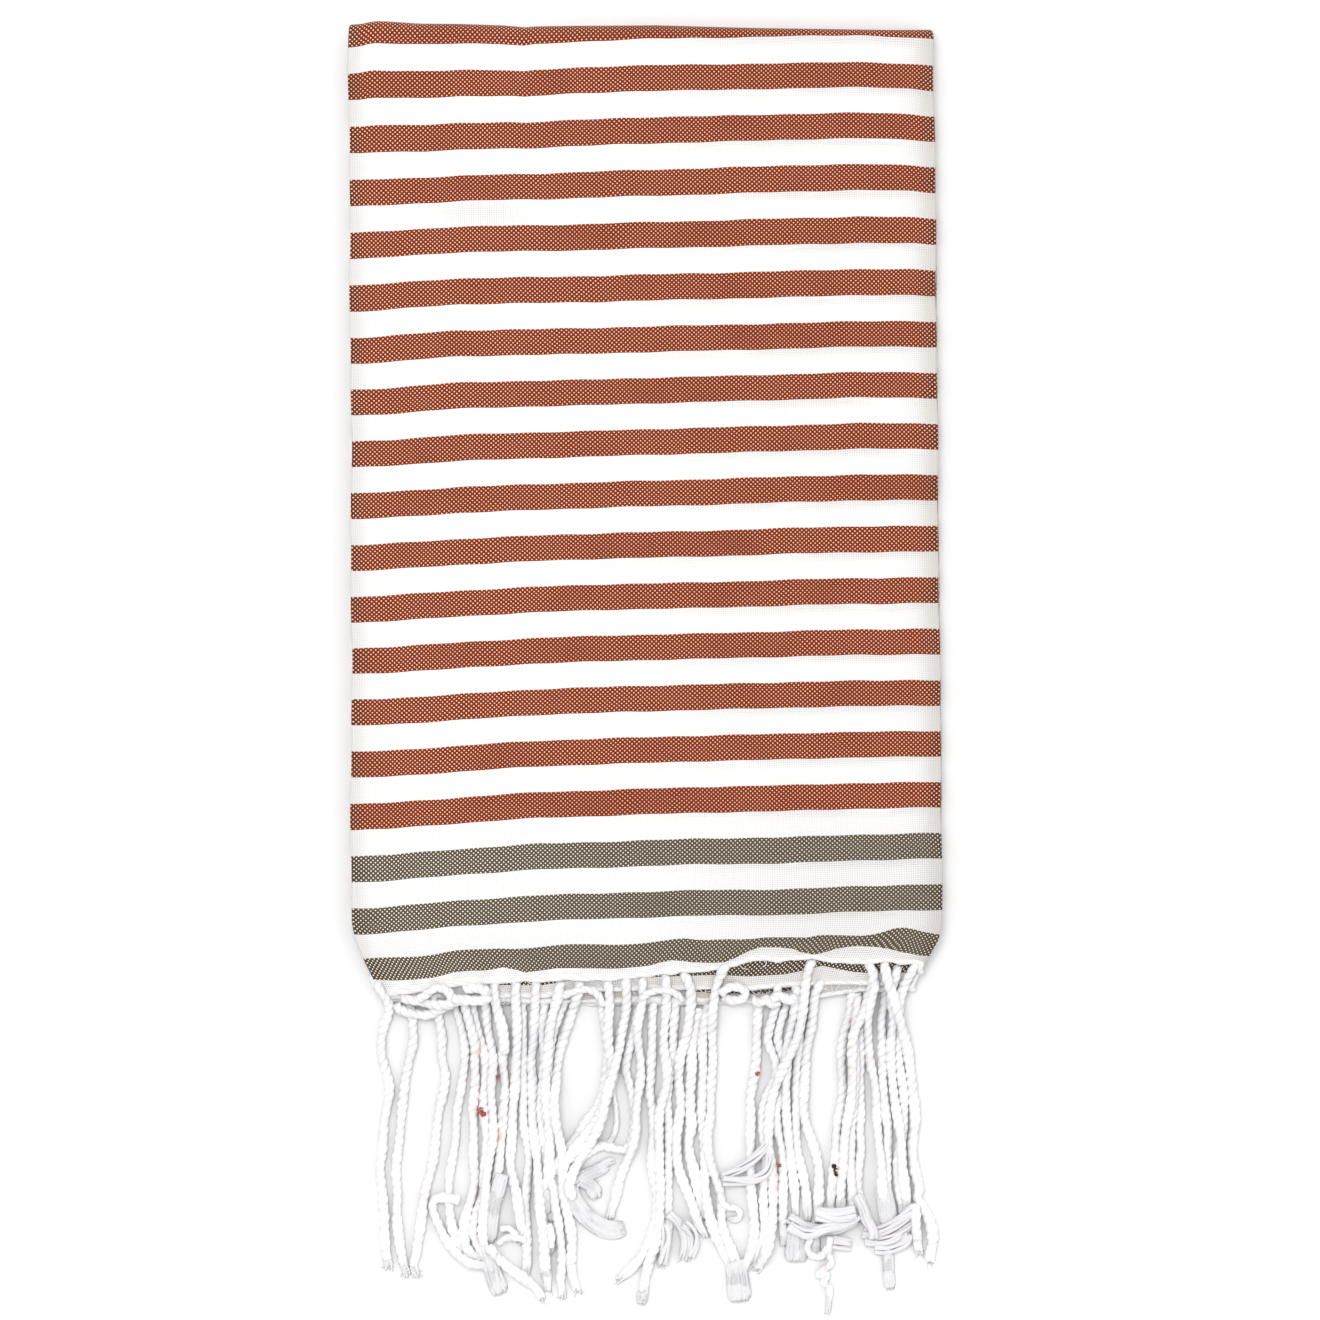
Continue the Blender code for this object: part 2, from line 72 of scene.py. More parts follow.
weave = {
    "warpSpacing": 1.25 * mm,
    "weftSpacing": 1.155 * mm,
    "stripeWidth": 13.86 * mm,
    "hemBand": 9.0 * mm,
    "clothLength": 2000.0 * mm,
    "greyStripes": 3,
    "leftFold": 313.2 * mm,
    "rightFold": 632.0 * mm,
    "white": (0.728, 0.725, 0.716),
    "rust": (0.180, 0.0222, 0.0060),
    "rustWarp": (0.98, 0.562, 0.365),
    "grey": (0.090, 0.071, 0.049),
    "greyWarp": (0.86, 0.80, 0.68),
    # Painted light: a brighter white for the hem bands, lifting the shade on the lower plies
    "hemPaintedLight": (0.86, 0.86, 0.85),
    # Greyer white under the stripes, and painted shade near the right fold
    "greyAndShadeWhite": (0.56, 0.53, 0.52),
    "rimGrey": (0.52, 0.49, 0.46),
    # Painted shade in the gaps between the threads of the white stripes
    "poreShadeGrey": (0.42, 0.39, 0.38),
    # Painted shade for the sides of the pack, which turn away from the light
    "turnedShadeBrown": (0.04, 0.02, 0.014),
    # Painted shade in the gaps between the coloured threads
    "threadGapShadeBrown": (0.035, 0.012, 0.008),
    "warpWander": 4.2 * mm,
    "weftWander": 2.0 * mm,
    "patchPlace": (-0.0885, 0.2425),
    "patchSize": (1.0 / 30.0, 1.0 / 88.0),
    "bump": (0.45, 0.4 * mm),
}
# How strongly the painted shade between the threads of the white stripes shows, all over and in places
poreShadeShares = {
    "everywhere": 0.14,
    "underStripes": 0.62,
    "nearRight": 0.42,
    "nearLeft": 0.26,
    "inHem": 0.60,
    "lowRight": 0.45,
    "patch": 0.42,
}


class NodeMaker:
    # Adds nodes to a tree and joins them, from left to right

    def __init__(self, tree):
        self.tree = tree

    def add(self, kind, **settings):
        node = self.tree.nodes.new(kind)
        for name, value in settings.items():
            setattr(node, name, value)
        return node

    def join(self, source, socket):
        if hasattr(source, "bl_idname") or hasattr(source, "links"):
            self.tree.links.new(source, socket)
        else:
            socket.default_value = source

    def calc(self, operation, *values):
        node = self.add("ShaderNodeMath", operation=operation)
        for socket, value in zip(node.inputs, values):
            self.join(value, socket)
        return node.outputs[0]

    def times(self, first, *others):
        for other in others:
            first = self.calc("MULTIPLY", first, other)
        return first

    def plus(self, first, *others):
        for other in others:
            first = self.calc("ADD", first, other)
        return first

    def minus(self, first, second):
        return self.calc("SUBTRACT", first, second)

    def vector(self, operation, first, second, socket=1):
        return self.through("ShaderNodeVectorMath", {0: first, socket: second}, operation=operation)

    def parts(self, vector):
        node = self.add("ShaderNodeSeparateXYZ")
        self.join(vector, node.inputs[0])
        return node.outputs

    def through(self, kind, sources, **settings):
        # A node with its sources joined by label, and its first output
        node = self.add(kind, **settings)
        for label, source in sources.items():
            self.join(source, node.inputs[label])
        return node.outputs[0]

    def ramp(self, value, low, high):
        # 0 below low and 1 above high, with soft ends
        sources = {"Value": value, "From Min": low, "From Max": high}
        return self.through("ShaderNodeMapRange", sources, interpolation_type="SMOOTHSTEP")

    def mix(self, share, first, second):
        node = self.add("ShaderNodeMix", data_type="RGBA")
        self.join(share, node.inputs[0])
        for value, socket in ((first, node.inputs[6]), (second, node.inputs[7])):
            self.join((*value, 1.0) if isinstance(value, tuple) else value, socket)
        return node.outputs[2]

    def noise(self, vector, scale, detail=2.0, roughness=0.5):
        sources = {"Vector": vector, "Scale": scale, "Detail": detail, "Roughness": roughness}
        return self.through("ShaderNodeTexNoise", sources)

    def group(self, tree, **sources):
        node = self.add("ShaderNodeGroup", node_tree=tree)
        for label, source in sources.items():
            self.join(source, node.inputs[label])
        return node.outputs

    def finish(self, shader, colour, height, bump):
        # The colour and a slight bump go into the surface
        self.join(colour, shader.inputs["Base Color"])
        sources = {"Strength": bump[0], "Distance": bump[1], "Height": height}
        self.join(self.through("ShaderNodeBump", sources), shader.inputs["Normal"])


def newGroup(name, ins, outs):
    group = bpy.data.node_groups.new(name, "ShaderNodeTree")
    for label, kind in ins:
        group.interface.new_socket(label, in_out="INPUT", socket_type=kind)
    for label in outs:
        group.interface.new_socket(label, in_out="OUTPUT", socket_type="NodeSocketFloat")
    make = NodeMaker(group)
    return group, make, make.add("NodeGroupInput").outputs, make.add("NodeGroupOutput").inputs


def plainWeaveGroup():
    # Over and under in turn, from the two ways across the cloth in thread counts
    group, make, given, out = newGroup(
        "plainWeave",
        (("Across", "NodeSocketFloat"), ("Along", "NodeSocketFloat")),
        ("Warp Up", "Height", "Between"),
    )
    across, along = (make.calc("SINE", make.times(given[way], math.pi)) for way in ("Across", "Along"))
    both = make.times(across, along)
    crown = make.calc("ABSOLUTE", both)
    make.join(make.ramp(both, 0.36, 0.76), out["Warp Up"])
    make.join(make.calc("POWER", crown, 0.6), out["Height"])
    make.join(make.ramp(crown, 0.38, 0.02), out["Between"])
    return group


def cottonFuzzGroup():
    # Fine fibres and soft cloudy tone, for cloth and cords alike
    group, make, given, out = newGroup(
        "cottonFuzz",
        (("Vector", "NodeSocketVector"), ("Fine", "NodeSocketFloat"), ("Broad", "NodeSocketFloat")),
        ("Fibre", "Cloud"),
    )
    for label, size, detail in (("Fibre", "Fine", 3.0), ("Cloud", "Broad", 2.0)):
        make.join(make.noise(given["Vector"], given[size], detail), out[label])
    return group


weaveGroup = plainWeaveGroup()
fuzzGroup = cottonFuzzGroup()


def newMaterial(name, roughness, sheen):
    material = bpy.data.materials.new(name)
    material.use_nodes = True
    shader = material.node_tree.nodes["Principled BSDF"]
    shader.inputs["Roughness"].default_value = roughness
    shader.inputs["Specular IOR Level"].default_value = 0.12
    shader.inputs["Sheen Weight"].default_value = sheen
    shader.inputs["Sheen Roughness"].default_value = 0.6
    return material, NodeMaker(material.node_tree), shader


def clothMaterial():
    material, make, shader = newMaterial("wovenStripes", 0.92, 0.06)
    place = make.add("ShaderNodeUVMap", uv_map="weave").outputs["UV"]
    across, along, _ = make.parts(place)
    threadAlong = make.parts(make.add("ShaderNodeUVMap", uv_map="threads").outputs["UV"])["Y"]
    fromLeft = make.minus(across, weave["leftFold"])
    fromRight = make.minus(weave["rightFold"], across)

    def patches(stretch, scale, low, high):
        return make.ramp(make.noise(make.vector("MULTIPLY", place, stretch), scale), low, high)

    # Threads wander a little from their even places
    drift = make.times(make.minus(make.noise(place, 55.0), 0.5), weave["weftWander"])
    sideways = make.noise(make.vector("MULTIPLY", place, (1.0, 0.6, 1.0)), 23.0)
    sidle = make.times(make.minus(sideways, 0.5), weave["warpWander"])
    threads = make.group(
        weaveGroup,
        Across=make.calc("DIVIDE", make.plus(across, sidle), weave["warpSpacing"]),
        Along=make.calc("DIVIDE", make.plus(threadAlong, drift), weave["weftSpacing"]),
    )

    # Stripes are counted from the nearer hem, so both ends are alike
    fromEnd = make.calc("MINIMUM", along, make.minus(weave["clothLength"], along))
    stripe = make.calc("DIVIDE", make.minus(fromEnd, weave["hemBand"]), weave["stripeWidth"])
    half = make.calc("FRACT", make.times(stripe, 0.5))
    coloured = make.times(make.calc("LESS_THAN", half, 0.5), make.calc("GREATER_THAN", stripe, 0.0))
    inWhite = make.minus(1.0, coloured)
    grey = make.times(coloured, make.calc("LESS_THAN", stripe, 2.0 * weave["greyStripes"] - 0.5))
    rust = make.minus(coloured, grey)

    def striped(rustColour, greyColour):
        return make.mix(grey, make.mix(rust, weave["white"], rustColour), greyColour)

    # Each pick of weft has its own tone, and slubs run along it
    streak = make.noise(make.vector("MULTIPLY", place, (60.0, 2400.0, 1.0)), 1.0, 2.0, 0.6)
    tone = make.plus(make.times(streak, 0.76), 0.62)
    fuzz = make.group(fuzzGroup, Vector=place, Fine=2600.0, Broad=24.0)
    toneInStripes = make.plus(make.times(make.minus(tone, 1.0), coloured), 1.0)
    toned = make.vector("SCALE", striped(weave["rust"], weave["grey"]), toneInStripes, "Scale")
    # The sides of the pack turn away from the light: their threads close up, and painted shade darkens them
    fromSide = make.calc("MINIMUM", fromLeft, fromRight)
    turnedShade = make.times(make.ramp(fromSide, 0.011, -0.001), make.plus(make.times(coloured, 0.55), 0.03))
    weftTone = make.mix(turnedShade, toned, weave["turnedShadeBrown"])

    # Dots of warp, a little fewer towards the right, a painted shade that darkens the stripes where the light
    # falls off
    rightward = make.ramp(across, weave["leftFold"] + 0.04, weave["rightFold"] - 0.10)
    rightShade = make.plus(make.times(grey, 0.12), 0.12)
    cloudy = make.plus(make.times(make.ramp(fuzz["Cloud"], 0.2, 0.6), 0.28), 0.72)
    dots = make.times(threads["Warp Up"], cloudy, make.minus(1.0, make.times(rightward, rightShade)))
    colour = make.mix(dots, weftTone, striped(weave["rustWarp"], weave["greyWarp"]))

    # Painted shade between the threads of the white stripes, stronger towards their upper edge, by the folds
    # and in some places
    inHem = make.calc("LESS_THAN", fromEnd, weave["hemBand"])
    patchCentre = tuple(-at / size for at, size in zip(weave["patchPlace"], weave["patchSize"]))
    position = make.add("ShaderNodeTexCoord").outputs["Object"]
    stretch = (*(1.0 / size for size in weave["patchSize"]), 0.0)
    spot = make.vector("ADD", make.vector("MULTIPLY", position, stretch), (*patchCentre, 0.0))
    fromPatch = make.add("ShaderNodeVectorMath", operation="LENGTH")
    make.join(spot, fromPatch.inputs[0])
    openHem = make.plus(patches((1.0, 1.6, 1.0), 120.0, 0.32, 0.62), 0.35)
    openWeave = patches((1.0, 6.0, 1.0), 26.0, 0.28, 0.52)
    shadeMasks = {
        "underStripes": make.times(make.ramp(half, 0.78, 1.0), make.ramp(across, 0.42, 0.60), openWeave),
        "nearRight": make.ramp(fromRight, 0.024, 0.0),
        "nearLeft": make.ramp(fromLeft, 0.012, 0.0),
        "inHem": make.times(inHem, make.ramp(fromEnd, 0.0012, 0.0060), openHem),
        "lowRight": make.times(make.ramp(along, 0.11, 0.03), make.ramp(across, 0.47, 0.58)),
        "patch": make.ramp(fromPatch.outputs["Value"], 1.0, 0.2),
    }
    shade = poreShadeShares["everywhere"]
    for name, share in shadeMasks.items():
        shade = make.plus(shade, make.times(share, poreShadeShares[name]))
    poreShade = make.times(threads["Between"], inWhite, shade)
    # The white greys under the stripes, and painted shade greys it near the right fold
    greyAndShade = make.calc("MAXIMUM", shadeMasks["underStripes"], make.times(shadeMasks["nearRight"], 0.7))
    # The last of each side turns away from the light, and so does the right of the front hem
    rightRim = make.times(make.ramp(fromRight, 0.013, 0.0), 0.76)
    leftRim = make.times(make.ramp(fromLeft, 0.011, 0.0), 0.40)
    rim = make.plus(make.calc("MAXIMUM", rightRim, leftRim), make.times(shadeMasks["lowRight"], 0.16))
    for share, tint in (
        # Painted light brightens the hem bands, lifting the shade that the plies above cast
        (make.times(inHem, 0.6), "hemPaintedLight"),
        (make.times(greyAndShade, inWhite, 0.34), "greyAndShadeWhite"),
        (make.times(rim, inWhite), "rimGrey"),
        # Painted shade in the gaps between the white threads
        (poreShade, "poreShadeGrey"),
        # Painted shade in the gaps between the coloured threads
        (make.times(threads["Between"], coloured, 0.5), "threadGapShadeBrown"),
    ):
        colour = make.mix(share, colour, weave[tint])
    height = make.plus(threads["Height"], make.times(fuzz["Fibre"], 0.35))
    make.finish(shader, colour, height, weave["bump"])
    return material


yarn = {
    "pink": (0.64, 0.27, 0.19),
    # Painted grey shade for the cords low down near the hems
    "hemShadeGrey": (0.50, 0.485, 0.495),
    # Painted shadow along the right side of each cord
    "rightSideShadow": (0.30, 0.26, 0.25),
    "bump": (0.55, 0.5 * mm),
}
# Red fluff along the cords: x, upper and lower end
redTraces = (
    (-90.2, -202.0, -312.0),
    (-78.5, -215.0, -262.0),
    (70.9, -266.0, -316.0),
    (62.5, -180.0, -222.0),
    (110.5, -176.0, -222.0),
    (97.5, -312.0, -338.0),
)
# Every yarn's colour, the painted shade of the hollows between its strands, and the colour of its cloudy
# patches
yarnColours = {
    "cottonCord": ((0.90, 0.898, 0.905), (0.67, 0.655, 0.69), (0.88, 0.82, 0.805)),
    "cottonEdge": ((0.865, 0.863, 0.857), (0.66, 0.65, 0.66), (0.84, 0.825, 0.81)),
    "cottonLoose": ((0.86, 0.858, 0.862), (0.77, 0.765, 0.785), (0.84, 0.82, 0.815)),
    # Tufts and loose bands are the same cotton painted darker, as painted shade of their fluffy strands
    "cottonTuftShaded": ((0.74, 0.733, 0.745), (0.55, 0.54, 0.56), (0.72, 0.70, 0.70)),
    "cottonBandShaded": ((0.765, 0.755, 0.767), (0.55, 0.535, 0.56), (0.75, 0.727, 0.722)),
    "rustLint": ((0.44, 0.06, 0.012), (0.16, 0.015, 0.005), (0.52, 0.09, 0.025)),
    "lintBrown": ((0.055, 0.014, 0.008), (0.02, 0.006, 0.004), (0.10, 0.02, 0.01)),
}


def cordMaterial(name, colour, hollowShade, lint):
    # Twisted yarn: fibres run along each strand, and a cool painted shade darkens the hollows between strands
    material, make, shader = newMaterial(name, 0.88, 0.10)
    read = make.add("ShaderNodeAttribute", attribute_name="cordPlace").outputs["Vector"]
    depth = make.ramp(make.calc("ABSOLUTE", make.parts(read)["X"]), 0.46, 0.02)
    position = make.add("ShaderNodeTexCoord").outputs["Object"]
    fuzz = make.group(fuzzGroup, Vector=make.vector("MULTIPLY", read, (5.0, 5.0, 260.0)), Fine=1.6, Broad=0.5)
    cloud = make.noise(position, 38.0)
    colour = make.mix(make.times(make.ramp(cloud, 0.60, 0.74), 0.7), colour, lint)
    # Red fluff caught along some cords, then painted shade in the hollows, deeper near the hems, and a painted
    # grey shade low down near the hems
    x, y, _ = make.parts(position)
    fluff, soft = 0.0, 6.0 * mm
    for traceX, upper, lower in (np.array(redTraces) * mm).tolist():
        near = make.ramp(make.calc("ABSOLUTE", make.minus(x, traceX)), 2.6 * mm, 0.6 * mm)
        inside = make.times(make.ramp(y, upper + soft, upper - soft), make.ramp(y, lower - soft, lower + soft))
        fluff = make.plus(fluff, make.times(near, inside))
    patchy = make.ramp(make.noise(position, 260.0), 0.50, 0.66)
    colour = make.mix(make.times(fluff, patchy, 0.40), colour, yarn["pink"])
    nearHem = make.ramp(y, -0.285, -0.195)
    colour = make.mix(make.times(depth, make.plus(make.times(nearHem, 0.46), 0.20)), colour, hollowShade)
    colour = make.mix(make.times(nearHem, 0.17), colour, yarn["hemShadeGrey"])
    normal = make.parts(make.add("ShaderNodeNewGeometry").outputs["Normal"])
    # Painted shadow along the low right side of each cord, stronger near the hems
    away = make.times(make.ramp(normal["X"], 0.70, 0.98), make.ramp(normal["Z"], 0.55, 0.10))
    colour = make.mix(make.times(away, make.plus(make.times(nearHem, 0.34), 0.28)), colour, yarn["rightSideShadow"])
    # Painted shade between the fine fibres
    colour = make.mix(make.times(make.ramp(fuzz["Fibre"], 0.62, 0.3), 0.22), colour, hollowShade)
    make.finish(shader, colour, fuzz["Fibre"], yarn["bump"])
    return material


clothLook = clothMaterial()
yarnLooks = {name: cordMaterial(name, *colours) for name, colours in yarnColours.items()}
print("materials made")


# ---- Cloth ----

towel = {
    "panelWidth": 316.7,
    "ply": 0.95,
    "plyPitch": 1.45,
    "innerFlapShort": 6.0,
    "outerFlapShort": 2.4,
    "topEdge": 515.4,
    "middleFoldEdge": 32.2,
    "groundGap": 0.55,
    "sideInset": 0.55,
    "hemRun": 45.0,
    "hemRows": 26,
    "foldReach": {"inner": 45.0, "outer": 20.0},
    "sink": 8.7,
    "sinkFrom": 31.0,
    "sinkTo": -8.0,
    "flat": (0.95, 2.0),
    "sideDroop": 0.13,
}
layerPitch = 3 * towel["plyPitch"]
lowestLayer = towel["plyPitch"] + towel["groundGap"]
layers = [lowestLayer + layerPitch * number for number in range(4)]
topCentre = towel["topEdge"] - 1.5 * layerPitch - lowestLayer
bottomCentre = towel["middleFoldEdge"] + layerPitch / 2 + lowestLayer
halfPanel = towel["panelWidth"] / 2

# The pack's two sides, up its length: y, left, right
sides = (
    (-19.0, -139.0, 142.0),
    (-8.0, -140.5, 143.5),
    (3.0, -146.0, 148.0),
    (14.5, -151.3, 153.0),
    (24.0, -155.0, 158.3),
    (33.0, -157.0, 160.5),
    (67.0, -157.5, 160.2),
    (153.0, -157.2, 159.1),
    (260.0, -157.2, 157.8),
    (367.0, -157.8, 157.0),
    (517.0, -158.9, 155.6),
)
# The closed end's waves: x, rise of the front layer, rise of the layers behind
topWaves = (
    (-158.0, 1.2, 0.0),
    (-151.0, 1.6, 0.0),
    (-145.0, 3.0, 0.0),
    (-137.0, 2.8, 0.0),
    (-120.0, 1.2, 0.9),
    (-98.0, 0.8, 1.4),
    (-70.0, -0.6, 2.4),
    (-66.0, -2.9, 3.4),
    (-62.0, -1.2, 2.6),
    (-45.0, -0.7, 2.2),
    (8.0, -0.2, 1.8),
    (60.0, -1.0, 0.3),
    (135.0, -1.9, 0.0),
    (158.0, -1.6, 0.0),
)
# The front ply's lower end: x, hem edge, lower side of its last stripe, upper side of it
frontHem = (
    (-149.6, -7.6, 2.5, 14.1),
    (-144.7, -7.2, 2.5, 14.4),
    (-134.8, -5.6, 1.9, 14.8),
    (-122.5, -3.8, 2.5, 15.0),
    (-111.4, -2.4, 3.7, 16.3),
    (-104.0, -1.4, 6.2, 18.1),
    (-94.2, -0.6, 7.4, 18.8),
    (-84.3, 0.0, 7.4, 19.2),
    (-75.7, 0.9, 9.3, 19.5),
    (-69.5, 1.3, 8.0, 19.2),
    (-64.6, 1.4, 6.2, 19.4),
    (-56.0, 1.5, 7.2, 20.3),
    (-48.6, 1.8, 8.6, 21.2),
    (-40.0, 2.1, 8.7, 21.8),
    (-28.0, 2.0, 8.6, 21.9),
    (-15.3, 2.2, 8.4, 21.3),
    (-3.0, 3.9, 9.3, 22.1),
    (5.6, 4.9, 10.5, 23.2),
    (11.8, 5.5, 13.0, 24.0),
    (18.0, 6.2, 13.3, 24.7),
    (24.1, 6.6, 11.8, 25.2),
    (29.5, 6.9, 11.8, 24.0),
    (38.4, 8.0, 11.5, 24.2),
    (44.5, 8.7, 11.9, 24.4),
    (49.7, 10.7, 14.6, 24.3),
    (54.8, 12.6, 17.6, 24.3),
    (63.0, 13.4, 20.8, 25.4),
    (70.2, 12.4, 20.5, 25.5),
    (78.4, 13.2, 20.3, 25.5),
    (84.0, 13.9, 17.6, 25.5),
    (90.0, 13.8, 15.9, 25.9),
    (95.9, 12.9, 17.0, 27.5),
    (101.0, 11.6, 19.0, 26.2),
    (111.3, 11.2, 20.9, 26.0),
    (121.5, 11.9, 20.6, 26.3),
    (129.7, 12.0, 19.6, 28.5),
    (136.9, 11.3, 17.6, 31.0),
    (142.1, 10.8, 16.6, 30.6),
    (150.3, 10.8, 15.3, 28.6),
    (158.5, 11.0, 14.6, 26.8),
)
# The other two plies of the front hem, in the flat section: x, inner, outer, and their plain bands
frontUnder = (
    (-158.0, -8.4, -10.2, 6.0, 5.0),
    (-102.0, -7.6, -9.8, 6.0, 5.0),
    (-75.0, -7.2, -9.8, 6.0, 5.0),
    (-60.0, -6.6, -10.2, 5.6, 5.0),
    (-47.0, -4.4, -10.4, 6.4, 5.0),
    (-30.0, -3.8, -10.2, 6.6, 5.0),
    (-10.0, -3.4, -9.4, 6.8, 5.0),
    (10.0, -3.0, -9.0, 7.0, 5.0),
    (28.0, -2.8, -9.0, 7.4, 5.0),
    (44.0, -2.8, -9.6, 7.8, 4.0),
    (58.0, -3.1, -9.6, 7.2, 3.5),
    (74.0, -2.4, -9.2, 6.7, 3.4),
    (82.0, -1.6, -8.8, 7.1, 3.3),
    (89.0, -1.0, -8.4, 9.1, 6.0),
    (94.0, -0.8, -8.0, 10.9, 7.0),
    (111.0, 0.0, -6.5, 10.0, 7.0),
    (116.0, -0.2, -5.6, 8.8, 7.0),
    (121.0, -0.5, -5.0, 6.6, 7.0),
    (145.0, -0.4, -3.0, 6.5, 5.0),
    (158.0, 0.0, -2.0, 6.5, 5.0),
)
# The three plies of the back hem: x, middle, inner, outer
backHem = (
    (-158.0, -11.6, -11.6, -10.2),
    (-60.0, -12.0, -11.1, -10.1),
    (52.0, -11.8, -11.0, -10.0),
    (68.0, -9.8, -9.2, -8.4),
    (84.0, -8.6, -8.0, -7.4),
    (94.0, -4.6, -4.2, -3.8),
    (112.0, -3.6, -3.2, -2.8),
    (158.0, -3.6, -3.2, -3.2),
)
# Where the second grey stripe's middle lies, and how far apart the stripes lie above it: x, y, pitch
stripeLie = (
    (-152.5, 34.31, 27.928),
    (-98.8, 38.21, 27.832),
    (-55.9, 41.39, 27.667),
    (-12.9, 42.85, 27.686),
    (30.0, 44.14, 27.651),
    (72.9, 44.72, 27.706),
    (115.9, 46.25, 27.656),
    (142.7, 46.64, 27.601),
)
# How much lower the stripes lie than even ones, up the pack: y, then one for each x
settleX = (-149.2, -136.3, -104.1, -69.2, -23.6, 30.1, 83.7, 126.7, 143.8, 153.5)
stripeSettle = (
    (14.0, (0.0, 0.0, 0.0, 0.0, 0.0, 0.0, 0.0, 0.0, 0.0, 0.0)),
    (24.2, (0.3, 0.2, -0.4, -0.1, -0.1, -0.1, 0.1, -0.5, -0.4, -0.2)),
    (56.4, (0.1, 0.4, -0.1, -0.1, 0.2, 0.0, 0.3, -0.1, -0.4, -0.6)),
    (99.3, (0.0, 0.4, 0.2, 0.0, 0.2, 0.0, -0.2, 0.0, -0.1, -0.3)),
    (153.0, (-0.2, 0.2, 0.4, 0.1, 0.2, 0.2, -0.1, 0.4, 0.1, 0.2)),
    (206.6, (0.6, 0.7, 0.6, 0.4, 0.5, 0.9, 0.5, 0.8, 0.3, 0.3)),
    (260.3, (0.9, 1.0, 0.7, 0.8, 1.0, 0.9, 0.4, 0.5, 0.4, 0.4)),
    (308.6, (1.1, 1.2, 0.3, 0.5, 1.2, 0.9, 0.8, 0.5, 0.5, 0.7)),
    (356.9, (1.2, 1.0, 0.1, 0.4, 1.3, 1.3, 1.5, 1.0, 0.9, 1.3)),
    (399.8, (0.7, 0.6, -0.1, 0.1, 0.9, 0.8, 0.9, 0.7, 0.7, 1.3)),
    (442.8, (0.2, 0.5, 1.1, 0.2, 0.3, 0.0, -0.3, -0.3, -0.2, 0.5)),
    (480.3, (0.1, 0.7, 0.6, -0.9, -0.6, -0.7, -0.7, -1.5, -1.1, 0.1)),
    (504.5, (-0.1, 0.3, 0.0, -0.8, -0.8, -0.7, -0.7, -1.1, -0.3, 0.0)),
)
# Creases of the top layer, from end to end: x, y, x, y, width, rise
creases = (
    (-66.5, 516.0, -65.5, 496.0, 3.0, -0.7),
    (-62.0, 514.0, -59.5, 488.0, 4.0, 0.4),
    (-70.0, 30.0, -68.0, 14.0, 3.5, -0.5),
    (66.0, 88.0, 67.0, 48.0, 3.0, -0.35),
    (84.0, 27.0, 97.0, 30.5, 3.0, 0.7),
    (97.0, 30.5, 117.0, 26.0, 3.0, 0.6),
    (117.0, 26.0, 136.5, 32.5, 3.2, 0.9),
    (136.5, 32.5, 157.0, 32.0, 3.2, 0.8),
    (58.0, 20.0, 92.0, 18.0, 4.0, 0.8),
    (-150.0, 40.0, -118.0, 18.0, 6.0, 0.4),
    (-150.0, 420.0, -120.0, 400.0, 9.0, -0.3),
    (-118.0, 408.0, -62.0, 424.0, 8.0, 0.3),
    (96.0, 26.0, 92.0, 12.0, 4.0, -0.6),
)


def realX(x, y):
    left = column(sides, 0, 1, y)
    right = column(sides, 0, 2, y)
    return left + (x + halfPanel) * (right - left) / towel["panelWidth"]


def sectionStations():
    # The middle line of the cloth across the pack: x, height, the way its face looks, ply
    pitch = towel["plyPitch"]
    half = halfPanel - towel["sideInset"]
    leftTurn, rightTurn = -(half - pitch / 2), half - pitch
    edge = np.concatenate([[0.0], np.cumsum([1.6, 2.0, 2.4, 3.0, 3.6, 4.4, 5.4, 6.6])])

    def stations(inset, count):
        # Close together by the folds and even between them
        middle = np.linspace(leftTurn + inset, rightTurn - inset, count)
        return np.concatenate([leftTurn + 0.8 + edge, middle, rightTurn - 0.8 - edge[::-1]])

    def fold(centreX, centreHeight, radius, start, end, count, ply):
        for turn in np.linspace(start, end, count):
            x, height = math.cos(turn), math.sin(turn)
            rows.append((centreX + radius * x, centreHeight + radius * height, x, height, ply))

    inside = stations(36.0, 13)[::-1]
    innerEnd, outerEnd = half - towel["innerFlapShort"], -half + towel["outerFlapShort"]
    rows = [(innerEnd, 0.0, 0.0, -1.0, "inner")]
    rows += [(x, 0.0, 0.0, -1.0, "inner") for x in inside if x < innerEnd - 1.0]
    fold(leftTurn, pitch / 2, pitch / 2, -math.pi / 2, -3 * math.pi / 2, 8, "leftFold")
    rows += [(x, pitch, 0.0, 1.0, "middle") for x in stations(34.0, 42)]
    fold(rightTurn, 0.0, pitch, math.pi / 2, -math.pi / 2, 9, "rightFold")
    rows += [(x, -pitch, 0.0, -1.0, "outer") for x in inside if x > outerEnd + 1.0]
    rows.append((outerEnd, -pitch, 0.0, -1.0, "outer"))
    return rows


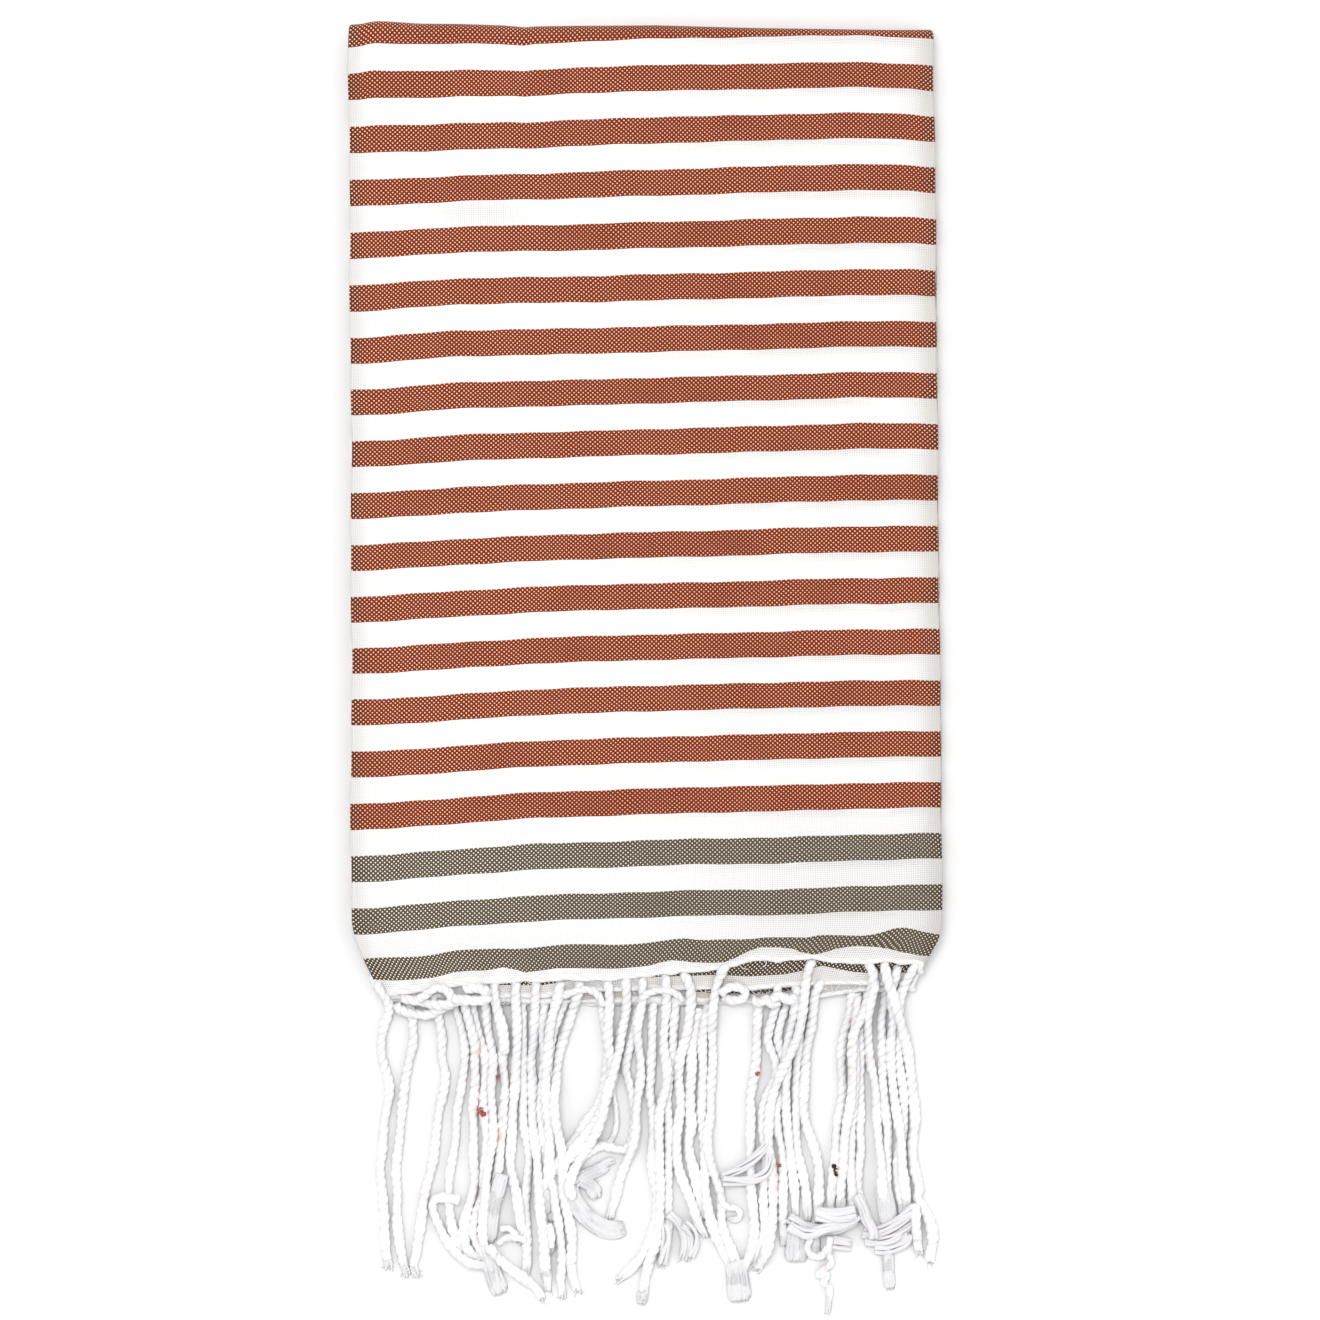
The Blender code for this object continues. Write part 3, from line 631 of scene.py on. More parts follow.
def pathStations():
    # Four layers and three folds: share of the run by a hem, or else y, then height, face y, face z
    rows = []

    def flat(layer, facing, places):
        rows.extend((None, y, layers[layer], 0.0, facing) for y in places)

    def hem(layer, facing, shares):
        rows.extend((share, None, layers[layer], 0.0, facing) for share in shares)

    def fold(centreY, lower, upper, start, end, steps):
        out = 1.0 if end < start else -1.0
        height, radius = (layers[lower] + layers[upper]) / 2, (upper - lower) * layerPitch / 2
        for turn in np.linspace(start, end, steps):
            y, z = math.cos(turn), math.sin(turn)
            rows.append((None, centreY + radius * y, height + radius * z, out * y, out * z))

    quarter, inner = math.pi / 2, (bottomCentre + 8.0, topCentre - 8.0)
    hem(3, 1.0, np.linspace(0.0, 1.0, towel["hemRows"]))
    flat(3, 1.0, np.linspace(towel["hemRun"], 480.0, 73)[1:])
    flat(3, 1.0, np.linspace(480.0, topCentre, 9)[1:-1])
    firstFold = len(rows)
    fold(topCentre, 0, 3, quarter, -quarter, 16)
    flat(0, -1.0, np.linspace(inner[1], inner[0], 34))
    fold(bottomCentre, 0, 1, -quarter, -3 * quarter, 8)
    flat(1, 1.0, np.linspace(inner[0], inner[1], 34))
    fold(topCentre, 1, 2, -quarter, quarter, 8)
    flat(2, -1.0, np.linspace(inner[1], towel["hemRun"], 36))
    hem(2, -1.0, np.linspace(1.0, 0.0, towel["hemRows"])[1:])
    return rows, firstFold


def frontEdge(x, ply):
    # y of the front hem, for a ply of the section
    middle = column(frontHem, 0, 1, realX(x, 5.0))
    if ply == "middle":
        return middle
    under = column(frontUnder, 0, 1 if ply in ("inner", "leftFold") else 2, x)
    return under if ply in ("inner", "outer") else middle * 0.6 + 0.4 * under


def backEdge(x, ply):
    return column(backHem, 0, {"inner": 2, "outer": 3}.get(ply, 1), x)


def sunk(y):
    return towel["sink"] * (1.0 - smoothStep((y - towel["sinkTo"]) / (towel["sinkFrom"] - towel["sinkTo"])))


def wrinkled(x, y, z, height):
    # Soft creases and slow ripples, strongest in the top layer and fading down through the pack
    rise = np.zeros_like(x)
    for x0, y0, x1, y1, width, depth in creases:
        wayX, wayY = x1 - x0, y1 - y0
        share = np.clip(((x - x0) * wayX + (y - y0) * wayY) / (wayX**2 + wayY**2), 0.0, 1.0)
        away = np.hypot(x - x0 - share * wayX, y - y0 - share * wayY)
        rise += depth * (0.35 + 0.65 * np.sin(math.pi * share)) * np.exp(-((away / width) ** 2))
    ripple = 0.22 * np.sin(x / 19.0 + 0.8 * np.sin(y / 47.0)) * np.cos(y / 61.0 + x / 140.0)
    pucker = 0.13 * np.sin((y - 46.0) / 27.7 * 2.0 * math.pi) * smoothStep((x - 10.0) / 60.0)
    rise += (ripple + pucker) * smoothStep((y - 26.0) / 40.0) * smoothStep((500.0 - y) / 30.0)
    return z + rise * np.clip(height, 0.0, 1.0) ** 2


def laid(x, y, z):
    # A point of the even pack, moved to where the real, slightly uneven one lies
    height = z / (layers[3] + lowestLayer)
    lower = 1.0 - height
    z = np.where((z > (layers[1] + layers[2]) / 2) & (y < 100.0), z - sunk(y), z)
    swell = np.sin(x / 62.0 + 0.7) * np.cos(y / 88.0 + 0.4) + 0.6 * np.sin((x + y) / 74.0)
    z = z * (1.0 + 0.03 * swell * smoothStep((y - 20.0) / 60.0))
    # The lower layers stand out a little on the right and wave on the left
    newX = realX(x, y)
    nearRight = smoothStep((x - 100.0) / 55.0)
    newX = newX + 1.3 * lower * nearRight * smoothStep((y - 55.0) / 60.0) * smoothStep((470.0 - y) / 60.0)
    nearLeft = smoothStep((-100.0 - x) / 50.0)
    newX = newX - 0.5 * np.sin(y / 31.0) * lower * nearLeft * smoothStep((y - 50.0) / 40.0)
    wave = 0.35 * np.sin(y / 21.0) + 0.25 * np.sin(y / 9.0 + 1.0)
    newX = newX + height * wave * smoothStep((np.abs(x) - 120.0) / 30.0) * smoothStep((y - 40.0) / 30.0)
    droop = 0.8 * smoothStep((-142.0 - x) / 15.0) ** 2 + smoothStep((x - 128.0) / 29.0) ** 2
    z = z * (1.0 - towel["sideDroop"] * droop * smoothStep((y - 10.0) / 25.0))
    rise = column(topWaves, 0, 1, x) + lower * column(topWaves, 0, 2, x)
    newY = y + smoothStep((y - 420.0) / 85.0) * rise
    return newX, newY, wrinkled(newX, newY, z, height)


def settledStripes(real, y):
    heights = np.array([row[0] for row in stripeSettle])
    shifts = np.array([np.interp(real, settleX, row[1]) for row in stripeSettle])
    found = np.clip(np.searchsorted(heights, y) - 1, 0, len(heights) - 2)
    share = np.clip((y - heights[found]) / (heights[found + 1] - heights[found]), 0.0, 1.0)
    low, high = (np.take_along_axis(shifts, found[None] + step, axis=0)[0] for step in (0, 1))
    return low + share * (high - low)


def weaveAlong(y, real):
    # How far along the cloth a place of the front ply is, from its hem, so that the stripes lie as they do
    band, stripe = weave["hemBand"] / mm, weave["stripeWidth"] / mm
    hem, low, high = (column(frontHem, 0, place, real) for place in (1, 2, 3))
    second, pitch = (column(stripeLie, 0, place, real) for place in (1, 2))
    secondLow = second - pitch / 4
    wobble = 0.16 * np.sin(real / 4.7 + 1.3 * np.sin(y / 17.0)) + 0.14 * np.sin(real / 11.3 + y / 23.0)
    y = y + settledStripes(real, y) + wobble * smoothStep((y - 18.0) / 10.0)
    places = [hem, low, high, secondLow, secondLow + 40 * pitch]
    lengths = [0.0, band, band + stripe, band + 2 * stripe, band + 82 * stripe]
    along = np.zeros_like(y)
    for number in range(4):
        share = (y - places[number]) / np.maximum(places[number + 1] - places[number], 0.5)
        piece = lengths[number] + share * (lengths[number + 1] - lengths[number])
        along = np.where(y >= places[number], piece, along)
    # The threads keep their own spacing in the last stripe, which is partly rolled in
    picks = np.where(y < high, lengths[2] - (high - y), along)
    return along, picks


def clothPoints(section, path):
    # Every station's y and height in the even pack, and both faces of the cloth as it lies
    steps = len(path)
    py = np.zeros((len(section), steps))
    for i, row in enumerate(section):
        front, back = frontEdge(row[0], row[4]), backEdge(row[0], row[4])
        for k, (share, y, *_) in enumerate(path):
            edge = front if k < steps / 2 else back
            py[i, k] = y if share is None else edge + (towel["hemRun"] - edge) * share**1.35
    sx, sh, nx, nh = (np.array([row[place] for row in section])[:, None] for place in range(4))
    pz, fy, fz = (np.array([row[place] for row in path])[None, :] for place in (2, 3, 4))
    faces = []
    for side in (0.5, -0.5):
        x = sx + side * towel["ply"] * nx + np.zeros((1, steps))
        h = sh + side * towel["ply"] * nh
        faces.append(np.stack(laid(x, py + h * fy, pz + h * fz), axis=-1))
    return py, pz + np.zeros_like(py), faces


def weaveLengths(section, py, pz, real, last):
    # Lengths across and along the cloth for its stripes, and along it for its threads
    lengthX = lengthAlong(np.array([row[:2] for row in section], dtype=float))
    across = lengthX[:, None] * towel["flat"][0] / mm / lengthX[-1] + np.zeros_like(py)
    along, picks = np.zeros_like(py), np.zeros_like(py)
    asFront, pickFront = weaveAlong(py, real)
    front = slice(0, last + 1)
    hemBand = weave["hemBand"] / mm
    plies = [row[4] for row in section]
    for i, (x, *_, ply) in enumerate(section):
        if ply in ("middle", "leftFold", "rightFold"):
            along[i, front], picks[i, front] = asFront[i, front], pickFront[i, front]
            continue
        y = py[i, front]
        own = y - frontEdge(x, ply)
        band = float(column(frontUnder, 0, 3 if ply == "inner" else 4, x))
        ownPicks = own + hemBand - band
        own = hemBand * np.clip(own / band, 0.0, 1.0) + np.maximum(0.0, own - band)
        # Near its fold and far up the pack, a turned-in ply goes by the front ply's lengths
        foldAt = plies.index("leftFold" if ply == "inner" else "rightFold")
        fade = math.exp(-abs(x - section[foldAt][0]) / towel["foldReach"][ply])
        fade = fade + (1.0 - fade) * smoothStep((y - 60.0) / 200.0)
        shift = asFront[foldAt, front] - py[foldAt, front]
        pickShift = pickFront[foldAt, front] - py[foldAt, front]
        along[i, front] = y + (own - y) * (1.0 - fade) + shift * fade
        picks[i, front] = ownPicks * (1.0 - fade) + (y + pickShift) * fade
    # Behind the first fold the lengths run on evenly to the other hem
    rest = np.cumsum(np.hypot(np.diff(py, axis=1), np.diff(pz, axis=1))[:, last:], axis=1)
    start = along[:, last : last + 1]
    along[:, last + 1 :] = start + (weave["clothLength"] / mm - start) * rest / rest[:, -1:]
    picks[:, last + 1 :] = along[:, last + 1 :]
    return across, along, picks


def sheetFaces(count, steps):
    # Upper and lower face of the cloth and the thin rim between them
    half = count * steps
    index = np.arange(half).reshape(count, steps)
    a, b, c, d = index[:-1, :-1], index[1:, :-1], index[1:, 1:], index[:-1, 1:]
    upper = np.stack([a, b, c, d], axis=-1).reshape(-1, 4)
    faces = [upper, upper[:, ::-1] + half]
    for line, flip in ((index[:, 0], True), (index[:, -1], False), (index[0, :], False), (index[-1, :], True)):
        strip = np.stack([line[:-1], line[1:], line[1:] + half, line[:-1] + half], axis=-1)
        faces.append(strip[:, ::-1] if flip else strip)
    return np.concatenate(faces)


def clothMesh():
    section = sectionStations()
    path, firstFold = pathStations()
    py, pz, points = clothPoints(section, path)
    real = ((points[0] + points[1]) / 2)[:, :, 0]
    across, along, picks = weaveLengths(section, py, pz, real, firstFold)
    vertices = np.concatenate([((face - np.array([midX, midY, 0.0])) * mm).reshape(-1, 3) for face in points])
    faces = sheetFaces(*py.shape)
    corners = vertices[faces].transpose(1, 0, 2)
    volume = sum((corners[0] * np.cross(corners[place], corners[place + 1])).sum() for place in (1, 2))
    if volume < 0:
        faces = faces[:, ::-1]
    mesh = bpy.data.meshes.new("towelClothFolds")
    mesh.from_pydata(vertices.tolist(), [], faces.tolist())
    corner = np.zeros(len(mesh.loops), dtype=np.int64)
    mesh.loops.foreach_get("vertex_index", corner)
    for name, lengths in (("weave", along), ("threads", picks)):
        uv = np.stack([across.reshape(-1), lengths.reshape(-1)], axis=-1) * mm
        layer = mesh.uv_layers.new(name=name)
        layer.data.foreach_set("uv", np.concatenate([uv, uv])[corner].reshape(-1).astype(np.float32))
    mesh.shade_smooth()
    mesh.validate()
    mesh.materials.append(clothLook)
    return mesh


clothPiece = placed("towelClothFolds", clothMesh())
print("cloth made,", len(clothPiece.data.polygons) * 2, "triangles")


# ---- Fringe ----

cords = {
    "fullness": 1.12,
    "twistWander": 2.6,
    "twistSeed": 3,
    "overlap": 0.86,
    "nothingUnder": -9.0,
    "edgeRadius": 1.65 * mm,
    "looseStrands": 8,
    "endStrands": 4,
    "brushStrand": 1.3 * mm,
    "rootUnder": 3.5,
    "rootDrop": 8.0,
    "deeperRoots": ("afterGap", "besideCross", "gapRight"),
    "deeperDrop": 11.5,
    "strayThreads": 75,
    "wisps": 4,
    "wispsBelow": -260.0,
    "lintHairs": 7,
    "lintRadius": 0.34 * mm,
    "lintHeight": 7.0,
}
# Each kind of yarn: spacing of its rings, length of a twist, depth of its lobes, points round it, material
sweeps = {
    "Twisted": (0.95 * mm, 9.4 * mm, 0.14, 14, "cottonCord"),
    "Loose": (1.5 * mm, 60.0 * mm, 0.05, 7, "cottonBandShaded"),
    "Edge": (0.9 * mm, 16.0 * mm, 0.10, 8, "cottonEdge"),
    "Fibres": (1.5 * mm, 9.4 * mm, 0.05, 5, "cottonLoose"),
    "Tufts": (1.6 * mm, 9.4 * mm, 0.05, 6, "cottonTuftShaded"),
    "Stray": (0.8 * mm, 9.4 * mm, 0.05, 5, "cottonLoose"),
    "Lint": (0.6 * mm, 9.4 * mm, 0.05, 5, "rustLint"),
    "DarkLint": (0.6 * mm, 9.4 * mm, 0.05, 5, "lintBrown"),
}
# Every cord in the order that it was laid down: name, fringe, half width, places from its root
cordRoutes = (
    ("secondLeft", "back", 2.5, (
        (-129.9, -182.0), (-126.6, -186.3), (-125.6, -196.0), (-125.3, -204.0), (-127.7, -212.1),
        (-129.9, -222.8), (-130.7, -233.5), (-132.0, -244.3), (-133.6, -257.7), (-134.7, -271.1),
        (-134.1, -284.5), (-134.7, -295.2), (-133.1, -308.7), (-130.9, -322.6), (-129.9, -328.2))),
    ("fourthLeft", "back", 2.4, (
        (-104.1, -182.0), (-101.4, -189.5), (-99.3, -197.0), (-97.6, -204.0), (-97.6, -212.1),
        (-99.3, -222.8), (-100.3, -230.8), (-101.9, -241.6), (-102.5, -252.3), (-104.1, -263.0),
        (-105.7, -273.8), (-106.2, -284.5), (-106.2, -293.6), (-105.2, -302.2), (-101.9, -310.3),
        (-96.6, -317.2), (-89.1, -322.6))),
    ("sixthLeft", "back", 2.4, (
        (-94.4, -182.0), (-92.3, -189.5), (-90.7, -197.6), (-88.5, -205.6), (-86.9, -214.7), (-86.9, -225.5),
        (-87.5, -233.5), (-87.5, -244.3), (-86.4, -255.0), (-86.4, -265.7), (-87.5, -275.4), (-88.0, -284.5),
        (-90.7, -292.6), (-92.8, -300.6), (-92.3, -308.7), (-89.1, -316.7), (-86.9, -322.6))),
    ("longLoose", "back", 2.5, (
        (-81.0, -182.0), (-78.9, -190.6), (-76.7, -198.6), (-76.7, -206.7), (-77.3, -214.7), (-76.7, -222.8),
        (-76.2, -230.8), (-76.7, -238.9), (-77.3, -249.6), (-78.9, -260.4), (-79.4, -271.1), (-81.0, -281.8),
        (-83.2, -292.6), (-84.8, -302.2), (-85.8, -310.8))),
    ("greyStub", "back", 2.3, (
        (-66.8, -182.0), (-66.3, -198.6), (-66.0, -209.4), (-66.5, -220.1), (-66.0, -230.8), (-66.0, -241.6),
        (-65.4, -252.3), (-63.8, -263.0), (-63.8, -273.8), (-64.4, -284.5), (-64.9, -295.2), (-64.4, -308.7),
        (-63.8, -320.5), (-64.4, -328.5))),
    ("puffEnd", "back", 2.5, (
        (-54.7, -182.0), (-55.3, -190.6), (-55.8, -198.6), (-55.3, -206.7), (-55.3, -217.4), (-55.8, -228.2),
        (-56.9, -238.9), (-56.3, -249.6), (-55.3, -260.4), (-54.7, -268.4), (-53.6, -279.1), (-52.6, -289.9),
        (-51.5, -299.0))),
    ("innerSlant", "back", 2.4, (
        (-43.4, -182.0), (-45.6, -186.3), (-48.8, -193.8), (-51.0, -202.4), (-52.0, -212.1), (-52.6, -222.8),
        (-52.0, -233.5), (-50.4, -244.3), (-48.3, -253.4), (-47.7, -263.0), (-48.8, -273.8), (-49.3, -284.5),
        (-48.3, -295.2), (-46.7, -308.7), (-45.1, -320.5), (-46.1, -331.2), (-45.6, -340.3))),
    ("sweepLow", "back", 2.6, (
        (-24.1, -182.0), (-23.0, -187.9), (-22.5, -196.0), (-21.4, -204.0), (-20.4, -212.1), (-21.4, -220.1),
        (-23.0, -229.2), (-26.3, -237.8), (-31.1, -245.3), (-35.9, -252.8), (-41.8, -260.4), (-48.3, -268.9),
        (-53.1, -276.5), (-56.3, -285.0), (-56.9, -294.7), (-55.3, -306.0), (-54.2, -320.5), (-53.6, -335.5))),
    ("loopBack", "back", 2.4, (
        (-2.7, -182.0), (-4.8, -189.5), (-7.5, -201.3), (-9.6, -209.4), (-10.7, -217.4), (-9.1, -225.5),
        (-7.5, -233.5), (-6.4, -241.6), (-6.4, -249.6), (-7.5, -256.6), (-11.2, -261.4), (-17.1, -260.9),
        (-23.6, -259.3), (-29.5, -261.4), (-34.9, -266.8), (-38.6, -274.3))),
    ("thinSplit", "back", 1.4, (
        (-15.5, -220.1), (-17.7, -229.2), (-16.3, -238.9), (-16.1, -248.6), (-18.8, -256.1), (-24.7, -260.4))),
    ("leftOfMid", "back", 2.5, (
        (3.8, -182.0), (3.5, -190.6), (3.0, -204.0), (2.7, -213.1), (3.0, -221.7), (2.2, -230.8),
        (3.2, -238.9), (3.8, -249.6), (3.2, -260.4), (3.2, -271.1), (4.9, -281.8), (5.9, -289.9),
        (5.4, -299.0), (3.2, -307.6), (0.0, -315.1), (-4.8, -322.1), (-9.6, -327.4), (-13.9, -331.2))),
    ("midBack", "back", 2.5, (
        (15.6, -182.0), (15.6, -187.9), (15.1, -196.0), (14.8, -206.7), (12.9, -217.4), (11.8, -228.2),
        (11.8, -238.9), (12.4, -249.6), (12.4, -260.4), (12.4, -271.1), (11.8, -281.8), (11.3, -292.6),
        (11.8, -303.3), (10.8, -314.0), (8.1, -322.6))),
    ("whiteLens", "back", 2.8, (
        (29.0, -185.2), (27.4, -193.3), (25.3, -202.4), (24.7, -212.1), (24.2, -221.7), (23.6, -230.8),
        (24.2, -240.0), (24.7, -248.6), (22.6, -257.7), (23.6, -265.7), (26.3, -273.8), (28.5, -281.8),
        (30.1, -289.9), (31.2, -296.9))),
    ("besideStub", "back", 2.5, (
        (33.3, -183.1), (32.2, -189.5), (30.6, -197.6), (30.6, -206.7), (30.9, -217.4), (30.1, -225.5),
        (30.1, -233.5), (30.1, -241.6), (30.6, -249.6), (31.2, -260.4), (31.7, -271.1), (32.2, -281.8),
        (33.3, -292.6), (34.9, -300.6), (37.6, -308.7), (41.9, -317.2), (46.2, -323.7))),
    ("gapEdge", "back", 2.6, (
        (60.7, -182.0), (60.1, -190.6), (59.9, -201.3), (59.6, -212.1), (58.0, -222.8), (56.4, -233.5),
        (56.9, -244.3), (55.8, -255.0), (56.4, -265.7), (56.9, -276.5), (56.9, -287.2), (58.0, -297.9),
        (58.5, -307.6), (57.5, -315.1), (54.2, -322.6), (51.6, -329.1))),
    ("darkPair", "back", 2.4, (
        (76.2, -182.0), (74.6, -186.8), (71.9, -194.9), (71.1, -202.4), (73.0, -209.4), (74.1, -220.1),
        (72.5, -230.8), (70.3, -240.0), (70.9, -249.6), (73.0, -260.4), (73.6, -271.1), (74.1, -281.8),
        (74.1, -292.6), (73.6, -302.2), (74.6, -311.3))),
    ("underCross", "back", 2.4, (
        (83.2, -182.5), (82.7, -196.0), (82.1, -206.7), (81.6, -217.4), (80.8, -228.2), (81.1, -238.9),
        (81.1, -249.6), (81.6, -260.4), (83.2, -270.0), (85.4, -279.1), (87.0, -288.8), (87.5, -297.9))),
    ("pinkEdge", "back", 2.5, (
        (111.4, -174.5), (110.6, -182.0), (109.0, -189.5), (106.8, -197.6), (105.8, -206.7), (105.5, -217.4),
        (105.8, -228.2), (105.2, -237.8), (103.6, -246.9), (102.5, -256.1), (102.0, -265.7), (100.9, -276.5),
        (100.4, -286.1), (99.9, -295.2))),
    ("wrapFoot", "back", 2.4, (
        (119.4, -174.5), (118.6, -185.2), (116.5, -193.3), (115.7, -202.9), (116.0, -213.1), (115.2, -222.8),
        (115.4, -233.5), (116.0, -243.2), (115.7, -252.3), (116.0, -260.4), (114.9, -268.4), (114.3, -277.5),
        (115.4, -286.1), (118.1, -294.7), (120.8, -303.3))),
    ("hiddenRight", "back", 2.3, (
        (114.6, -174.5), (113.8, -183.1), (112.7, -201.3), (112.7, -217.4), (112.7, -229.2), (112.2, -238.9),
        (110.6, -249.6), (110.6, -260.4), (110.9, -271.1), (110.9, -281.8), (111.7, -291.5), (112.7, -299.0))),
    ("rightMid", "back", 2.5, (
        (129.6, -174.5), (128.8, -182.5), (127.2, -190.6), (127.2, -201.3), (127.2, -212.1), (127.8, -222.8),
        (128.3, -232.5), (129.1, -241.6), (130.4, -250.7), (130.4, -260.4), (129.9, -270.0), (129.4, -279.1),
        (129.9, -289.9), (130.4, -300.6))),
    ("rightUnder", "back", 2.5, (
        (134.8, -174.5), (135.8, -185.2), (136.4, -193.3), (136.4, -201.3), (136.1, -207.8), (136.9, -214.7),
        (138.0, -222.8), (139.0, -230.8), (139.0, -238.9), (139.0, -246.9), (138.5, -255.0), (136.4, -263.0),
        (135.3, -272.2), (136.4, -280.8), (138.0, -289.3), (139.0, -296.9))),
    ("leftEdge", "front", 2.5, (
        (-144.9, -171.3), (-142.2, -176.1), (-139.0, -182.0), (-139.0, -187.9), (-141.7, -196.0),
        (-142.5, -206.7), (-141.7, -214.7), (-139.5, -222.8), (-138.4, -230.8), (-139.5, -238.9),
        (-141.1, -246.9), (-142.2, -257.7), (-143.3, -271.1), (-142.2, -281.8), (-141.7, -292.6),
        (-141.1, -306.0), (-139.5, -319.4), (-139.3, -324.0))),
    ("thirdLeft", "front", 2.5, (
        (-115.4, -177.7), (-112.7, -186.3), (-111.6, -193.3), (-109.7, -202.4), (-110.0, -212.1),
        (-108.4, -220.1), (-109.2, -229.2), (-111.1, -237.8), (-112.1, -245.3), (-113.5, -255.0),
        (-114.8, -265.7), (-116.4, -274.8), (-118.6, -282.9), (-120.7, -292.6), (-122.3, -306.0),
        (-123.9, -316.7), (-125.6, -323.7), (-124.0, -328.5))),
    ("fifthLeft", "front", 2.5, (
        (-98.7, -179.9), (-96.6, -188.4), (-93.9, -197.6), (-91.7, -205.6), (-92.3, -214.7), (-92.3, -222.8),
        (-92.8, -230.8), (-93.4, -238.9), (-92.8, -249.6), (-93.4, -260.4), (-93.4, -268.4), (-92.3, -276.5),
        (-93.4, -284.5), (-96.0, -292.6), (-98.2, -300.6), (-98.2, -308.7), (-95.0, -316.2), (-89.1, -321.0))),
    ("seventhLeft", "front", 2.4, (
        (-87.5, -175.6), (-86.4, -185.2), (-85.3, -194.9), (-83.7, -204.0), (-82.6, -213.1), (-83.2, -222.8),
        (-83.2, -233.5), (-82.6, -244.3), (-82.6, -255.0), (-84.2, -265.7), (-85.8, -276.5), (-86.9, -287.2),
        (-88.0, -297.9), (-87.5, -310.3), (-85.8, -320.5))),
    ("straightA", "front", 2.6, (
        (-81.8, -171.8), (-81.3, -179.9), (-79.9, -186.3), (-77.8, -193.8), (-76.5, -201.3), (-76.2, -209.4))),
    ("straightB", "front", 2.6, (
        (-69.7, -171.3), (-70.3, -182.5), (-69.7, -196.0), (-69.2, -205.6), (-70.0, -216.3), (-70.8, -227.1),
        (-71.6, -237.8), (-71.9, -249.6), (-73.0, -260.4), (-73.5, -268.4), (-71.9, -276.5), (-69.7, -284.5),
        (-68.7, -292.6), (-67.6, -300.6), (-67.1, -310.3))),
    ("straightC", "front", 2.5, (
        (-59.0, -171.3), (-59.5, -181.5), (-60.6, -193.3), (-60.9, -204.0), (-61.7, -214.7), (-61.2, -222.8),
        (-61.7, -230.8), (-61.7, -238.9), (-61.2, -245.3), (-60.1, -255.0), (-59.0, -263.0), (-58.5, -271.1),
        (-57.9, -279.1), (-56.9, -289.9), (-56.3, -300.6), (-55.3, -311.3), (-54.2, -322.1), (-53.6, -332.3))),
    ("slantA", "front", 2.6, (
        (-46.1, -171.8), (-47.7, -179.9), (-49.9, -187.9), (-51.5, -196.0), (-52.6, -204.0), (-53.1, -212.1),
        (-53.6, -220.1), (-53.6, -230.8), (-53.1, -241.6), (-52.0, -252.3), (-51.5, -263.0), (-52.0, -273.8),
        (-51.0, -281.8), (-49.9, -288.8))),
    ("slantB", "front", 2.6, (
        (-35.4, -171.3), (-37.0, -178.8), (-39.1, -185.2), (-41.8, -193.3), (-44.5, -201.3), (-46.7, -209.4),
        (-47.7, -217.4), (-48.8, -227.1), (-49.9, -235.1), (-48.8, -244.3), (-46.7, -253.9), (-45.1, -263.0),
        (-45.1, -272.2), (-45.1, -281.8), (-44.0, -289.9), (-41.8, -299.0), (-40.2, -308.7), (-40.2, -318.3),
        (-40.2, -327.4), (-37.5, -337.1))),
    ("sweepMid", "front", 2.6, (
        (-20.4, -171.3), (-19.8, -179.9), (-19.8, -187.9), (-20.4, -196.0), (-20.4, -205.6), (-19.3, -213.1),
        (-18.8, -221.7), (-20.4, -230.8), (-23.6, -238.9), (-27.9, -246.4), (-33.2, -253.9), (-38.6, -261.4),
        (-44.5, -270.0), (-48.3, -278.1))),
    ("sweepTop", "front", 2.6, (
        (-10.7, -169.7), (-10.7, -181.5), (-11.2, -189.5), (-12.9, -197.6), (-14.5, -206.7), (-16.6, -214.2),
        (-18.8, -222.8), (-21.4, -232.5), (-23.0, -241.6), (-26.3, -249.6), (-30.6, -257.7), (-35.4, -265.7),
        (-39.7, -274.3), (-41.8, -281.8), (-39.4, -287.0))),
    ("loopFront", "front", 2.4, (
        (-1.6, -169.1), (-2.1, -179.9), (-3.2, -186.8), (-4.5, -194.9), (-4.0, -204.0), (-3.2, -214.7),
        (-3.2, -223.9), (-4.3, -233.5), (-5.3, -243.2), (-5.9, -252.3), (-8.0, -261.4), (-11.2, -270.0),
        (-14.5, -279.1), (-17.1, -288.8), (-19.3, -297.9))),
    ("midA", "front", 2.5, (
        (10.8, -167.5), (11.3, -177.2), (10.5, -186.8), (9.7, -196.0), (10.0, -206.7), (11.3, -214.7),
        (11.3, -222.8), (9.7, -230.8), (7.5, -240.0), (7.0, -249.6), (7.0, -260.4), (7.0, -271.1),
        (8.1, -281.8), (7.5, -292.6), (7.0, -302.2), (5.4, -311.3), (2.2, -320.5), (0.0, -330.1),
        (-2.1, -341.4))),
    ("midB", "front", 2.6, (
        (20.4, -166.4), (23.6, -172.3), (24.7, -179.9), (23.6, -187.9), (22.6, -194.9), (20.7, -202.9),
        (18.8, -210.4), (17.7, -218.5), (17.7, -226.0), (18.3, -233.5), (18.3, -241.6), (17.2, -249.6),
        (16.7, -258.7), (16.7, -268.4), (18.8, -276.5), (22.6, -284.5), (25.8, -292.6), (27.9, -300.6),
        (31.2, -306.5))),
    ("gapLeft", "front", 2.5, (
        (43.0, -161.1), (39.2, -168.0), (37.3, -175.6), (36.5, -184.1), (35.7, -193.3), (35.5, -204.0),
        (36.0, -214.7), (35.5, -225.5), (34.9, -235.1), (34.4, -244.3), (32.8, -252.3), (33.3, -260.4),
        (34.9, -268.4), (37.1, -276.5), (39.7, -284.5), (40.8, -292.6), (40.8, -300.6), (43.0, -308.7),
        (46.2, -316.7), (48.3, -323.7))),
    ("afterGap", "front", 2.4, (
        (70.9, -171.3), (70.9, -179.9), (68.7, -187.9), (66.6, -194.9), (65.5, -202.4), (67.7, -207.8),
        (70.3, -215.3), (69.8, -222.8), (66.6, -229.2), (63.4, -236.2), (62.8, -244.3), (63.4, -255.0),
